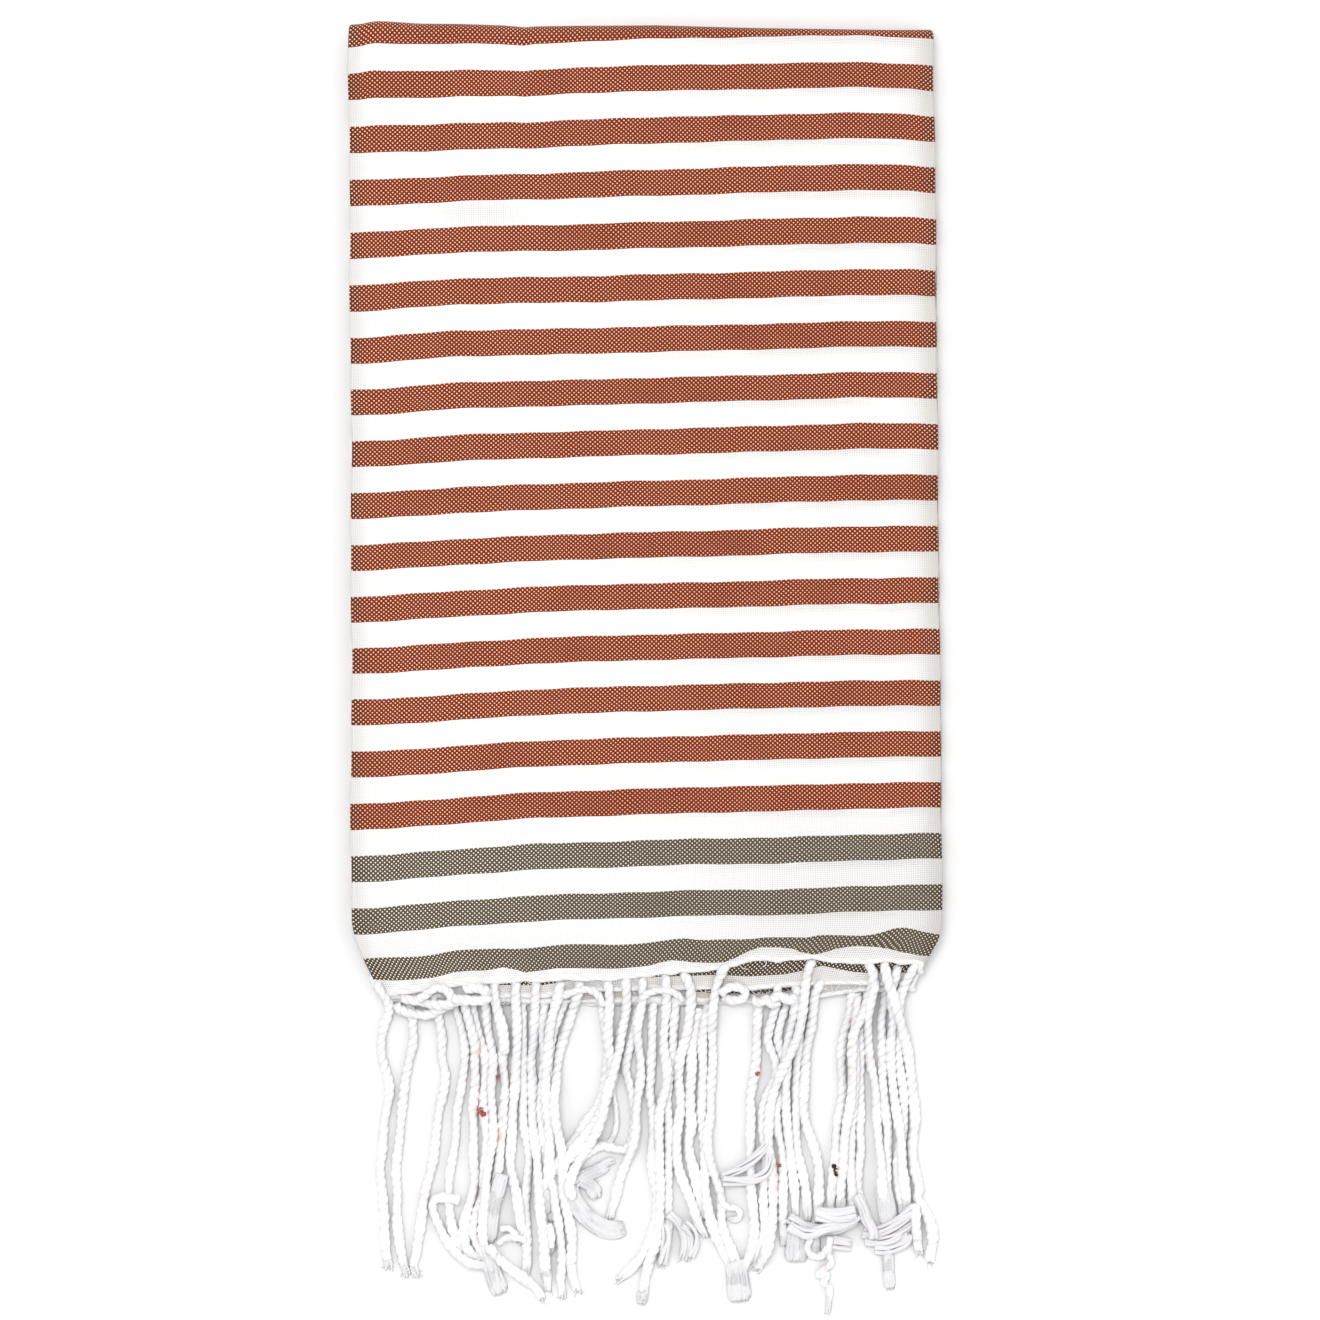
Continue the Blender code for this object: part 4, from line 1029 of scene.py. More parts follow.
        (64.4, -265.7), (63.9, -279.1), (63.4, -289.9), (63.9, -299.0), (63.4, -308.7), (61.2, -316.7),
        (59.1, -322.6))),
    ("besideCross", "front", 2.4, (
        (81.1, -172.3), (80.5, -180.4), (79.5, -189.5), (77.9, -198.6), (76.2, -206.7), (75.7, -216.3),
        (75.2, -225.5), (75.7, -236.2), (76.2, -246.9), (76.8, -257.7), (78.4, -268.4), (80.0, -279.1),
        (80.0, -289.9), (80.5, -297.9))),
    ("crossing", "front", 2.5, (
        (89.1, -159.5), (86.4, -166.4), (85.4, -174.5), (84.8, -184.1), (83.8, -192.2), (81.6, -200.2),
        (78.4, -207.2), (75.2, -214.2), (71.9, -221.7), (69.3, -229.2), (67.1, -236.7), (66.0, -244.3),
        (66.0, -255.0), (67.1, -264.7), (68.2, -273.8), (68.2, -282.9), (68.7, -292.6), (68.2, -302.2),
        (66.0, -311.3), (63.4, -319.4), (60.7, -325.3))),
    ("gapRight", "front", 2.6, (
        (94.5, -170.2), (91.3, -177.2), (90.2, -185.2), (89.1, -194.9), (87.5, -204.0), (86.7, -212.1),
        (85.9, -221.7), (84.8, -230.8), (84.8, -238.9), (86.4, -246.9), (89.1, -255.0), (91.3, -263.0),
        (92.9, -271.1), (93.4, -280.8), (93.4, -289.9), (92.3, -299.0))),
    ("rightFirst", "front", 2.5, (
        (119.5, -160.7), (122.6, -166.8), (121.6, -175.0), (117.4, -185.3), (114.4, -192.5), (111.7, -198.6),
        (111.1, -207.8), (110.9, -217.4), (110.6, -228.2), (110.1, -237.8), (108.4, -246.9), (106.8, -256.1),
        (106.3, -265.7), (105.8, -276.5), (105.2, -287.2), (105.2, -295.8))),
    ("rightSecond", "front", 2.4, (
        (123.5, -171.3), (120.8, -181.5), (119.2, -190.6), (119.7, -200.2), (120.5, -207.8), (121.3, -215.3),
        (122.7, -222.8), (123.5, -230.8), (124.3, -240.0), (125.1, -249.6), (125.6, -259.3), (126.7, -268.4),
        (127.2, -277.5), (127.8, -287.2), (128.3, -296.9))),
    ("rightThird", "front", 2.5, (
        (135.4, -162.7), (133.9, -168.9), (132.3, -175.0), (132.1, -182.5), (133.1, -189.5), (132.6, -198.1),
        (132.1, -206.7), (132.1, -214.2), (132.6, -221.7), (133.1, -229.2), (134.7, -237.8), (136.4, -246.9),
        (137.4, -256.1), (137.4, -264.7), (138.0, -272.2), (139.6, -280.8), (140.6, -289.9), (141.7, -297.9))),
    ("cornerCord", "front", 2.3, (
        (145.2, -160.7), (141.1, -167.8), (138.0, -175.0), (136.4, -181.2), (136.9, -190.6))),
    ("rightOuter", "front", 2.7, (
        (128.2, -160.7), (129.8, -168.9), (132.8, -177.1), (134.9, -185.3), (137.4, -194.9), (139.0, -200.2),
        (141.2, -206.7), (142.3, -214.7), (142.8, -222.8), (143.6, -230.8), (144.9, -238.9), (145.5, -246.4),
        (144.4, -253.9), (143.3, -260.4), (143.9, -268.4), (145.5, -275.4), (147.6, -281.8), (146.5, -287.9),
        (150.9, -295.9), (154.0, -304.8), (154.5, -313.7), (153.6, -320.8))),
    ("chainLow", "front", 2.5, (
        (-134.6, -182.5), (-133.2, -185.2), (-128.8, -187.1), (-122.8, -188.4), (-117.9, -188.5),
        (-114.0, -187.1), (-109.7, -184.4), (-105.3, -182.5))),
    ("chainTop", "front", 2.4, (
        (-131.6, -179.4), (-127.7, -180.3), (-124.4, -180.6), (-118.4, -181.9), (-111.8, -183.0),
        (-105.3, -182.5), (-101.0, -180.5))),
    ("chainLoop", "front", 2.3, (
        (-122.8, -179.9), (-118.4, -177.6), (-115.1, -174.8), (-111.8, -173.4), (-107.5, -174.8),
        (-104.7, -178.1), (-104.7, -181.9), (-108.0, -183.0))),
    ("chainEnd", "front", 2.5, (
        (-104.0, -178.9), (-100.0, -180.2), (-96.0, -180.3), (-90.5, -180.6), (-85.6, -179.5),
        (-83.7, -177.8))),
    ("chainKnot", "front", 2.6, (
        (-97.6, -175.2), (-94.6, -173.9), (-91.4, -173.7), (-87.8, -174.3), (-84.5, -176.1))),
    ("arcLeft", "front", 1.9, (
        (-45.1, -178.2), (-38.6, -175.6), (-31.1, -174.5), (-25.7, -177.7), (-23.0, -183.6))),
    ("arcMid", "front", 1.8, ((-3.2, -180.4), (1.1, -176.6), (7.5, -175.0), (14.5, -176.1), (19.9, -180.4))),
    ("hemKnot", "front", 2.3, (
        (40.0, -177.2), (43.4, -174.0), (47.6, -172.9), (52.4, -174.6), (53.6, -178.0), (50.6, -180.3),
        (45.2, -180.5), (41.4, -178.6))),
    ("rightKnotA", "front", 2.4, (
        (56.9, -179.9), (61.2, -182.0), (65.0, -179.9), (68.2, -182.5), (71.9, -180.9))),
    ("rightKnotB", "front", 2.4, ((67.7, -179.9), (71.9, -177.7), (76.8, -180.4), (81.1, -178.2))),
    ("innerYarn", "front", 1.8, (
        (-38.1, -280.2), (-33.8, -275.9), (-27.9, -273.2), (-22.0, -268.9), (-17.1, -267.3))),
    ("curlOut", "front", 2.4, (
        (-101.0, -288.4), (-107.0, -287.2), (-113.0, -287.6), (-115.3, -291.5), (-114.3, -296.2),
        (-111.6, -303.0), (-107.6, -310.7), (-101.8, -317.4), (-95.0, -322.2), (-86.5, -324.8))),
    ("crossTail", "front", 2.6, (
        (-84.3, -313.4), (-79.7, -319.9), (-72.3, -326.3), (-64.9, -330.9), (-59.4, -336.5), (-56.8, -341.8))),
    ("ringTop", "front", 1.7, ((-79.9, -312.4), (-75.6, -309.2), (-69.7, -308.7), (-64.4, -310.3))),
    ("besideRing", "front", 1.8, ((-78.3, -304.4), (-74.0, -303.8), (-70.8, -306.5), (-67.6, -310.8))),
    ("shortEnd", "front", 2.0, ((-52.6, -301.1), (-51.0, -308.7), (-52.0, -317.2))),
    ("sideYarnA", "front", 2.2, (
        (41.5, -276.3), (50.4, -272.3), (56.6, -267.4), (62.8, -261.2), (66.4, -257.6))),
    ("sideYarnB", "front", 2.2, (
        (41.5, -278.1), (52.1, -278.1), (60.2, -276.3), (65.5, -271.9), (66.8, -263.0))),
    ("knobEnd", "front", 2.4, ((11.8, -295.8), (16.7, -300.1), (20.4, -305.4), (21.5, -313.0), (19.9, -320.5))),
    ("fanEnd", "front", 2.3, ((9.7, -301.1), (11.3, -307.6), (10.2, -315.1), (9.2, -322.6))),
    ("shadeEnd", "front", 2.3, ((20.4, -301.1), (24.7, -305.4), (26.3, -311.9), (24.2, -319.4))),
    ("wrapLow", "front", 2.6, (
        (76.8, -298.0), (80.8, -300.5), (86.0, -303.0), (94.9, -304.8), (103.8, -303.9), (112.8, -298.6))),
    ("wrapHigh", "front", 2.6, (
        (76.8, -302.0), (80.8, -304.5), (87.7, -306.6), (98.4, -303.0), (109.1, -299.5), (113.8, -295.6))),
    ("wrapBack", "front", 3.4, ((91.3, -295.9), (97.7, -296.4), (104.1, -296.0), (112.7, -294.1))),
    ("sideStub", "front", 3.1, ((100.6, -311.5), (105.2, -312.2), (110.4, -312.8))),
    ("knobCurl", "front", 1.7, (
        (39.5, -284.5), (41.2, -289.5), (44.5, -292.6), (48.6, -293.0), (51.0, -296.4), (49.0, -299.6),
        (45.4, -299.2))),
    ("corkscrew", "front", 1.85, (
        (99.3, -308.1), (98.4, -317.3), (100.2, -322.6), (94.9, -327.0), (92.6, -329.3), (97.5, -329.3),
        (95.8, -333.3), (98.9, -335.9), (98.9, -341.3), (98.0, -348.0))),
    ("ringUnder", "front", 1.8, (
        (89.1, -308.7), (87.0, -314.0), (89.7, -318.9), (95.0, -318.3), (98.2, -313.0))),
    ("slingA", "front", 2.6, (
        (116.9, -306.2), (118.9, -306.6), (127.8, -304.8), (136.7, -299.5), (145.0, -291.6))),
    ("slingB", "front", 2.4, ((118.0, -311.0), (128.7, -311.0), (137.6, -306.6), (144.3, -299.6))),
    ("slingC", "front", 2.4, ((123.3, -315.5), (131.4, -315.5), (139.4, -311.9), (141.8, -306.5))),
    ("slingD", "front", 2.4, (
        (113.0, -285.5), (116.4, -292.0), (118.4, -298.0), (121.6, -304.0), (122.4, -309.0))),
    ("innerLeg", "front", 2.4, ((144.7, -290.1), (145.6, -304.8), (147.4, -317.3))),
)
# Thick brushed-out ends: fringe, half width, height that they lie at, places
brushes = (
    ("back", 6.2, 0.0, ((81.1, -303.0), (81.3, -312.0), (81.4, -322.1))),
    ("back", 6.2, 0.0, ((48.1, -321.3), (49.6, -332.0), (50.8, -343.6))),
    ("back", 2.8, 0.0, ((130.5, -315.3), (130.8, -325.0), (131.8, -337.1))),
    ("back", 4.6, 0.0, ((-85.8, -316.9), (-82.6, -327.0), (-78.4, -339.6))),
    ("back", 2.7, 0.0, ((-1.6, -338.7), (-2.7, -345.2))),
    ("front", 4.6, 1.0, (
        (-41.5, -278.5), (-39.2, -288.0), (-32.6, -297.2), (-24.3, -303.4), (-16.9, -305.0), (-11.6, -303.6))),
    ("front", 3.9, 4.2, ((-77.6, -274.3), (-79.9, -282.0), (-83.2, -294.0), (-85.3, -311.7))),
    ("front", 3.6, 0.6, ((-38.6, -276.8), (-33.6, -278.6), (-29.0, -282.4), (-26.2, -288.0))),
    ("front", 4.6, 3.5, ((127.6, -281.4), (129.4, -291.0), (131.4, -302.2))),
    ("back", 2.4, 0.0, ((91.0, -308.5), (91.6, -318.5))),
    ("front", 4.4, 4.0, ((-56.4, -283.0), (-55.9, -290.0), (-55.4, -297.6))),
    ("front", 3.2, 0.4, ((-38.1, -278.4), (-33.6, -276.0), (-27.3, -272.9), (-20.6, -269.8))),
)
# Specks of coloured lint: x, y, size
lintSpecks = (
    (-89.4, -240.0, 1.9),
    (-87.6, -241.9, 1.6),
    (-79.9, -221.7, 1.1),
    (60.1, -220.1, 1.3),
    (71.7, -269.6, 1.1),
)
darkSpecks = (
    (101.2, -269.9, 1.3),
    (101.9, -272.4, 1.5),
    (102.4, -274.6, 1.0),
)
# Short cords that are knotted along the hem, and do not come out from under it
knotted = (
    "chain", "hemKnot", "rightKnot", "ring", "besideRing", "wrap", "sling", "side", "curlOut", "crossTail",
    "knob", "fan", "shade", "inner", "corkscrew", "short", "thin",
)
# Cords that have come apart into loose strands
untwisted = (
    "wrapLow", "wrapHigh", "wrapBack", "slingA", "slingB", "slingC", "slingD", "sideStub", "innerYarn",
    "sideYarnA", "sideYarnB", "knobEnd", "fanEnd", "shadeEnd",
)
# Cords whose ends stay twisted
whole = ("chain", "arc", "hemKnot", "rightKnot", "ring", "straightA", "cornerCord", "sweepTop", "wrapFoot")
# Cords without fine fibres past their ends
withoutWisps = ("wrap", "sling", "side", "ring", "innerYarn")


def denseLine(places, spacing):
    # A smooth line through the places, with even steps
    points = np.array(places, dtype=float)
    padded = np.vstack([2 * points[0] - points[1], points, 2 * points[-1] - points[-2]])
    found = []
    for number in range(1, len(padded) - 2):
        a, b, c, d = padded[number - 1 : number + 3]
        square, cube = 2 * a - 5 * b + 4 * c - d, 3 * b - a - 3 * c + d
        for t in np.linspace(0.0, 1.0, 12, endpoint=False):
            found.append(0.5 * (2 * b + (c - a) * t + square * t**2 + cube * t**3))
    found = np.array(found + [points[-1]])
    length = np.concatenate([[0.0], np.cumsum(np.hypot(*np.diff(found, axis=0).T))])
    steps = max(4, int(round(length[-1] / spacing)))
    at = np.linspace(0.0, length[-1], steps + 1)
    return np.stack([np.interp(at, length, found[:, axis]) for axis in (0, 1)], axis=-1)


def headings(points):
    # The way ahead and the way across at each point, seen from above
    ahead = np.gradient(points[:, :2], axis=0)
    ahead /= np.maximum(1e-6, np.hypot(ahead[:, 0], ahead[:, 1]))[:, None]
    return ahead, np.stack([-ahead[:, 1], ahead[:, 0]], axis=-1)


def clothUnder(x, y):
    # Upper face of the cloth that a cord from the front hem passes over, from the plies' own lower ends
    x, y = x + midX, y + midY
    left, right = column(sides, 0, 1, y), column(sides, 0, 2, y)
    flatX = (x - left) * towel["panelWidth"] / (right - left) - halfPanel
    top, low = layers[3] - sunk(y), layers[2] - sunk(y)
    under = np.where(y > column(backHem, 0, 2, flatX), low + 1.5, cords["nothingUnder"])
    under = np.where(y > column(frontUnder, 0, 2, flatX), top - 0.9, under)
    under = np.where(y > column(frontUnder, 0, 1, flatX), top + 0.6, under)
    return np.where(y > column(frontHem, 0, 1, x) + 0.5, top + 2.0, under)


def softened(heights, least):
    # Bends that yarn can follow, with the cord never inside the floor
    kernel = np.hanning(9)[1:-1]
    kernel /= kernel.sum()

    def blurred(values):
        return np.convolve(np.pad(values, 3, mode="edge"), kernel, mode="valid")

    for _ in range(2):
        heights = blurred(np.maximum(heights, blurred(heights)))
    return np.maximum(heights, least)


def settledCords():
    # Each cord lies on the floor, on the hems, or on the cords under it, and bends softly between
    settled = []
    laidPoints = np.zeros((0, 4))
    chance = random.Random(4)
    for name, fringe, width, places in cordRoutes:
        half = width * cords["fullness"]
        if fringe == "front" and not name.startswith(knotted):
            away = np.subtract(places[0], places[1])
            places = (tuple(np.add(places[0], away * cords["rootUnder"] / np.hypot(*away))),) + places
        x, y = denseLine(places, 1.6).T
        along = np.concatenate([[0.0], np.cumsum(np.hypot(np.diff(x), np.diff(y)))])
        sway = chance.uniform(0.0, 6.28)
        if along[-1] > 90.0:
            x = x + 0.30 * np.sin(along / 6.0 + sway) * smoothStep(along / 15.0)
        z = np.full(len(x), half)
        if fringe == "front":
            z = np.maximum(z, clothUnder(x, y) + half * 0.8)
        if len(laidPoints):
            laidX, laidY, laidZ, laidHalf = laidPoints.T[:, None]
            away = np.hypot(x[:, None] - laidX, y[:, None] - laidY)
            reach = (half + laidHalf) * cords["overlap"]
            rest = laidZ + np.sqrt(np.maximum(0.0, reach**2 - away**2))
            over = np.where(away < reach * 0.93, rest, cords["nothingUnder"]).max(axis=1)
            # A cord beside another slides down next to it, one across another rides over it
            z = np.maximum(z, np.minimum(over, z + 2.4 * half))
        soft = softened(z, half)
        if not name.startswith(knotted):
            drop = cords["deeperDrop" if name in cords["deeperRoots"] else "rootDrop"]
            soft = np.maximum(soft - drop * (1.0 - smoothStep(along / 7.0)), half * 0.9)
        settled.append({"name": name, "fringe": fringe, "half": half, "line": np.stack([x, y, soft], axis=-1)})
        laidPoints = np.vstack([laidPoints, np.stack([x, y, soft, np.full(len(x), half)], axis=-1)[::2]])
    return settled


def curveObject(name, lines):
    # One poly spline for each line, with its own thickness at every point
    data = bpy.data.curves.new(name, "CURVE")
    data.dimensions = "3D"
    for points, radii in lines:
        spline = data.splines.new("POLY")
        spline.points.add(len(points) - 1)
        flat = np.concatenate([points * mm, np.ones((len(points), 1))], axis=1)
        spline.points.foreach_set("co", flat.reshape(-1).astype(np.float32))
        spline.points.foreach_set("radius", np.asarray(radii, dtype=np.float32))
    return placed(name, data)


def twistedCordTree():
    # Sweeps a two-lobed section along each line and turns it as it goes
    tree = bpy.data.node_groups.new("twistedCord", "GeometryNodeTree")
    tree.interface.new_socket("Geometry", in_out="INPUT", socket_type="NodeSocketGeometry")
    for label in ("Ring Spacing", "Twist Length", "Wander", "Lobe Depth"):
        tree.interface.new_socket(label, in_out="INPUT", socket_type="NodeSocketFloat")
    for label in ("Round Points", "Seed"):
        tree.interface.new_socket(label, in_out="INPUT", socket_type="NodeSocketInt")
    tree.interface.new_socket("Look", in_out="INPUT", socket_type="NodeSocketMaterial")
    tree.interface.new_socket("Geometry", in_out="OUTPUT", socket_type="NodeSocketGeometry")
    make = NodeMaker(tree)
    given, out = make.add("NodeGroupInput").outputs, make.add("NodeGroupOutput").inputs

    def keep(geometry, name, value, kind="FLOAT"):
        sources = {"Geometry": geometry, "Name": name, "Value": value}
        return make.through("GeometryNodeStoreNamedAttribute", sources, data_type=kind, domain="POINT")

    def kept(name):
        return make.through("GeometryNodeInputNamedAttribute", {"Name": name}, data_type="FLOAT")

    line = keep(given["Geometry"], "cordRadius", make.add("GeometryNodeInputRadius").outputs[0])
    rings = {"Curve": line, "Length": given["Ring Spacing"]}
    line = make.through("GeometryNodeResampleCurve", rings, mode="LENGTH")
    along = make.add("GeometryNodeSplineParameter").outputs["Length"]
    chance = make.add("FunctionNodeRandomValue", data_type="FLOAT")
    make.join(make.add("GeometryNodeCurveOfPoint").outputs["Curve Index"], chance.inputs["ID"])
    make.join(given["Seed"], chance.inputs["Seed"])
    make.join(0.0, chance.inputs[2])
    make.join(6.28, chance.inputs[3])
    turn = make.calc("DIVIDE", make.times(along, 2.0 * math.pi), given["Twist Length"])
    wander = make.noise(make.add("GeometryNodeInputPosition").outputs[0], 34.0, 1.0)
    turn = make.plus(turn, chance.outputs[1], make.times(make.minus(wander, 0.5), given["Wander"]))
    line = make.through("GeometryNodeSetCurveTilt", {"Curve": line, "Tilt": turn})
    line = keep(line, "alongCord", along)

    # The section is two round strands side by side, so far apart that they just reach the whole width
    roundLine = {"Resolution": given["Round Points"], "Radius": 1.0}
    circle = make.through("GeometryNodeCurvePrimitiveCircle", roundLine)
    place = make.add("GeometryNodeInputPosition").outputs[0]
    x, y, _ = make.parts(place)
    apart = given["Lobe Depth"]
    strand, crossways = make.minus(1.0, apart), make.times(y, apart)
    inside = make.minus(make.times(strand, strand), make.times(crossways, crossways))
    grow = make.plus(make.times(make.calc("ABSOLUTE", x), apart), make.calc("SQRT", inside))
    lobes = make.vector("SCALE", place, grow, "Scale")
    section = make.through("GeometryNodeSetPosition", {"Geometry": circle, "Position": lobes})
    section = keep(keep(section, "lobeX", x), "lobeY", y)

    sweep = make.add("GeometryNodeCurveToMesh")
    for label, source in (("Curve", line), ("Profile Curve", section), ("Fill Caps", True)):
        make.join(source, sweep.inputs[label])
    if "Scale" in sweep.inputs:
        make.join(kept("cordRadius"), sweep.inputs["Scale"])
    together = make.add("ShaderNodeCombineXYZ")
    for socket, name in zip(together.inputs, ("lobeX", "lobeY", "alongCord")):
        make.join(kept(name), socket)
    swept = keep(sweep.outputs[0], "cordPlace", together.outputs[0], "FLOAT_VECTOR")
    swept = make.through("GeometryNodeSetShadeSmooth", {"Geometry": swept})
    swept = make.through("GeometryNodeRealizeInstances", {"Geometry": swept})
    swept = make.through("GeometryNodeSetMaterial", {"Geometry": swept, "Material": given["Look"]})
    make.join(swept, out["Geometry"])
    return tree


cordTree = twistedCordTree()


def sweptMesh(name, kind, lines):
    # Runs the cord tree on lines of points and gives back a plain mesh
    source = curveObject(name + kind + "Lines", lines)
    modifier = source.modifiers.new("twist", "NODES")
    modifier.node_group = cordTree
    spacing, twist, depth, around, look = sweeps[kind]
    values = {
        "Ring Spacing": spacing,
        "Twist Length": twist,
        "Wander": cords["twistWander"],
        "Lobe Depth": depth,
        "Round Points": around,
        "Seed": cords["twistSeed"],
        "Look": yarnLooks[look],
    }
    for item in cordTree.interface.items_tree:
        if item.in_out == "INPUT" and item.name in values:
            modifier[item.identifier] = values[item.name]
    source.update_tag()
    bpy.context.view_layer.update()
    graph = bpy.context.evaluated_depsgraph_get()
    mesh = bpy.data.meshes.new_from_object(source.evaluated_get(graph), depsgraph=graph)
    curves = source.data
    bpy.data.objects.remove(source, do_unlink=True)
    bpy.data.curves.remove(curves)
    return mesh


def vertexPlaces(mesh):
    places = np.zeros(len(mesh.vertices) * 3)
    mesh.vertices.foreach_get("co", places)
    return places.reshape(-1, 3)


def faceOut(mesh):
    mesh.calc_loop_triangles()
    corners = np.zeros(len(mesh.loop_triangles) * 3, dtype=np.int64)
    mesh.loop_triangles.foreach_get("vertices", corners)
    if np.linalg.det(vertexPlaces(mesh)[corners.reshape(-1, 3)]).sum() < 0:
        mesh.flip_normals()


def restOnFloor(mesh):
    # Soft yarn is a little flat where it lies on the floor
    places = vertexPlaces(mesh)
    height = places[:, 2]
    flattened = np.maximum(0.1 * mm, 0.1 * mm + 0.4 * (height + 0.5 * mm))
    places[:, 2] = np.where(height < 0.5 * mm, flattened, height)
    mesh.vertices.foreach_set("co", places.reshape(-1))


def radiiAlong(points, half, name):
    # Yarn is a little uneven, narrows at its root and swells where it comes untwisted
    length = lengthAlong(points)
    slow = 0.06 * np.sin(length / 5.3 + len(name))
    quick = 0.045 * np.sin(length / 1.9 + 2.0 * len(name) + 1.4 * np.sin(length / 7.0))
    root = 0.95 + 0.05 * smoothStep(length / 6.0)
    left = length[-1] - length
    tip = 0.90 + 0.20 * smoothStep(left / 3.0) - 0.10 * smoothStep((left - 8.0) / 22.0)
    return half * mm * (1.0 + slow + quick) * root * tip


def looseStrands(points, half, chance):
    # Soft strands side by side that wander slowly over each other
    _, side = headings(points)
    length = lengthAlong(points)
    found = []
    for number in range(cords["looseStrands"]):
        turn = (number + chance.uniform(-0.3, 0.3)) / cords["looseStrands"] * 2.0 * math.pi
        turn = turn + length / 17.0 + 0.6 * np.sin(length / 8.0 + chance.uniform(0.0, 6.0))
        across, up = half * 0.70 * np.cos(turn), half * 0.40 * np.sin(turn)
        line = np.column_stack([points[:, :2] + side * across[:, None], points[:, 2] + up])
        size = half * 0.38 * chance.uniform(0.85, 1.15) * (1.0 + 0.12 * np.sin(length / 3.0 + number))
        found.append((line, size * mm * (0.72 + 0.28 * smoothStep((length[-1] - length) / 4.0))))
    return found


def splitEnd(points, half, chance, reach):
    # The strands of a cord's last part, that come apart and settle on the floor
    ahead, side = headings(points)
    share = np.linspace(0.0, 1.0, len(points))
    count = cords["endStrands"]
    found = []
    for number in range(count):
        upper = number % 2
        place = (number + 0.5) / count * 2.0 - 1.0
        spread = 0.56 * place * (1.0 + chance.uniform(-0.1, 0.35) * share)
        apart = half * (spread + 0.12 * np.sin(share * 4.0 + chance.uniform(0.0, 6.0)))
        size = half * chance.uniform(0.50, 0.62) * (1.0 - 0.28 * share)
        lift = half * (0.30 if upper else -0.12) * (1.0 - share)
        z = np.maximum((points[:, 2] + lift) * (1.0 - share) + (size + 0.3 * upper) * share, size)
        line = np.column_stack([points[:, :2] + side * apart[:, None], z])
        step = ahead[-1] * chance.uniform(*reach) + side[-1] * place * chance.uniform(-0.3, 0.4)
        tip = [[*(line[-1, :2] + step * part), size[-1] * high] for part, high in ((0.55, 0.9), (1.0, 0.6))]
        sizes = np.concatenate([size, size[-1:] * 0.84, size[-1:] * 0.46])
        found.append((np.vstack([line, tip]), sizes * mm))
    return found


def brushStrands(fringe, chance):
    # Brushed-out ends: many soft strands side by side, arched across the bundle
    found = []
    for owner, half, base, places in brushes:
        if owner != fringe:
            continue
        line = denseLine(places, 1.5)
        _, side = headings(line)
        share = np.linspace(0.0, 1.0, len(line))
        number = int(half * 3.0) + 1
        for index in range(number):
            place = (index + 0.5) / number * 2.0 - 1.0
            level, wander = chance.uniform(0.45, 1.0), chance.uniform(-1.0, 1.0)
            spread = place * (0.62 + 0.28 * np.sin(share * 2.3))
            apart = half * (spread + 0.10 * wander * np.sin(share * 3.4 + wander))
            arch = 1.1 * half**0.5 * level * math.sqrt(max(0.05, 1.0 - place**2))
            z = 1.1 + base * (1.0 - share**3) + arch * (1.0 - 0.45 * share)
            cut = len(line) - int(1.3 * place * place) - chance.choice((0, 0, 0, 0, 1))
            thick = np.full(cut, cords["brushStrand"]) * (1.0 + 0.12 * np.sin(share[:cut] * 9.0 + wander))
            thick[-2:] *= (0.92, 0.62)
            found.append((np.column_stack([line + side * apart[:, None], z])[:cut], thick))
    return found


def wispsBeyond(points, half, chance):
    # Fine curling fibres that reach past a cord's cut end
    endX, endY = points[-1, :2]
    heading = math.atan2(endY - points[-3, 1], endX - points[-3, 0])
    wayX, wayY = math.cos(heading), math.sin(heading)
    found = []
    for _ in range(cords["wisps"]):
        x = endX - chance.uniform(0.0, 1.5) * wayX - half * chance.uniform(-0.6, 0.6) * wayY
        y = endY - chance.uniform(0.0, 1.5) * wayY + half * chance.uniform(-0.6, 0.6) * wayX
        line = [(x, y, 1.0)]
        turn, bend = heading + chance.uniform(-0.35, 0.35), chance.uniform(-0.28, 0.28)
        reach = chance.uniform(2.5, 7.0) / 5.0
        for step in range(5):
            turn += bend
            x, y = x + reach * math.cos(turn), y + reach * math.sin(turn)
            line.append((x, y, 0.9 - 0.12 * step))
        sizes = chance.uniform(0.30, 0.50) * mm * np.array([1.0, 1.0, 0.9, 0.75, 0.6, 0.35])
        found.append((np.array(line), sizes))
    return found


def hemRoll(fringe):
    # The rolled, rough lower end of a hem's three plies, round both folds
    hems = {"front": (frontEdge, layers[3], 1.0), "back": (backEdge, layers[2], -1.0)}
    edge, layer, facing = hems[fringe]
    line = []
    for x, height, _, _, ply in sectionStations():
        y = edge(x, ply) + 0.7 * cords["edgeRadius"] / mm
        height = height + (0.45 if ply == "middle" else 0.0)
        place = laid(np.array([x]), np.array([float(y)]), np.array([layer + (height - 0.4) * facing]))
        line.append([float(value[0]) for value in place])
    line = np.array(line) - np.array([midX, midY, 0.0])
    rough = line[:, 0] + 0.7 * line[:, 2]
    lumps = 0.26 * np.sin(rough / 2.9) * np.sin(rough / 11.0 + 1.0)
    ends = 0.15 * np.sin(rough / 1.6 + 2.0 * np.sin(rough / 9.0))
    line[:, 1] += 0.45 * np.sin(rough / 2.3 + 2.0 * np.sin(rough / 13.0))
    return line, cords["edgeRadius"] * (1.0 + lumps + ends)


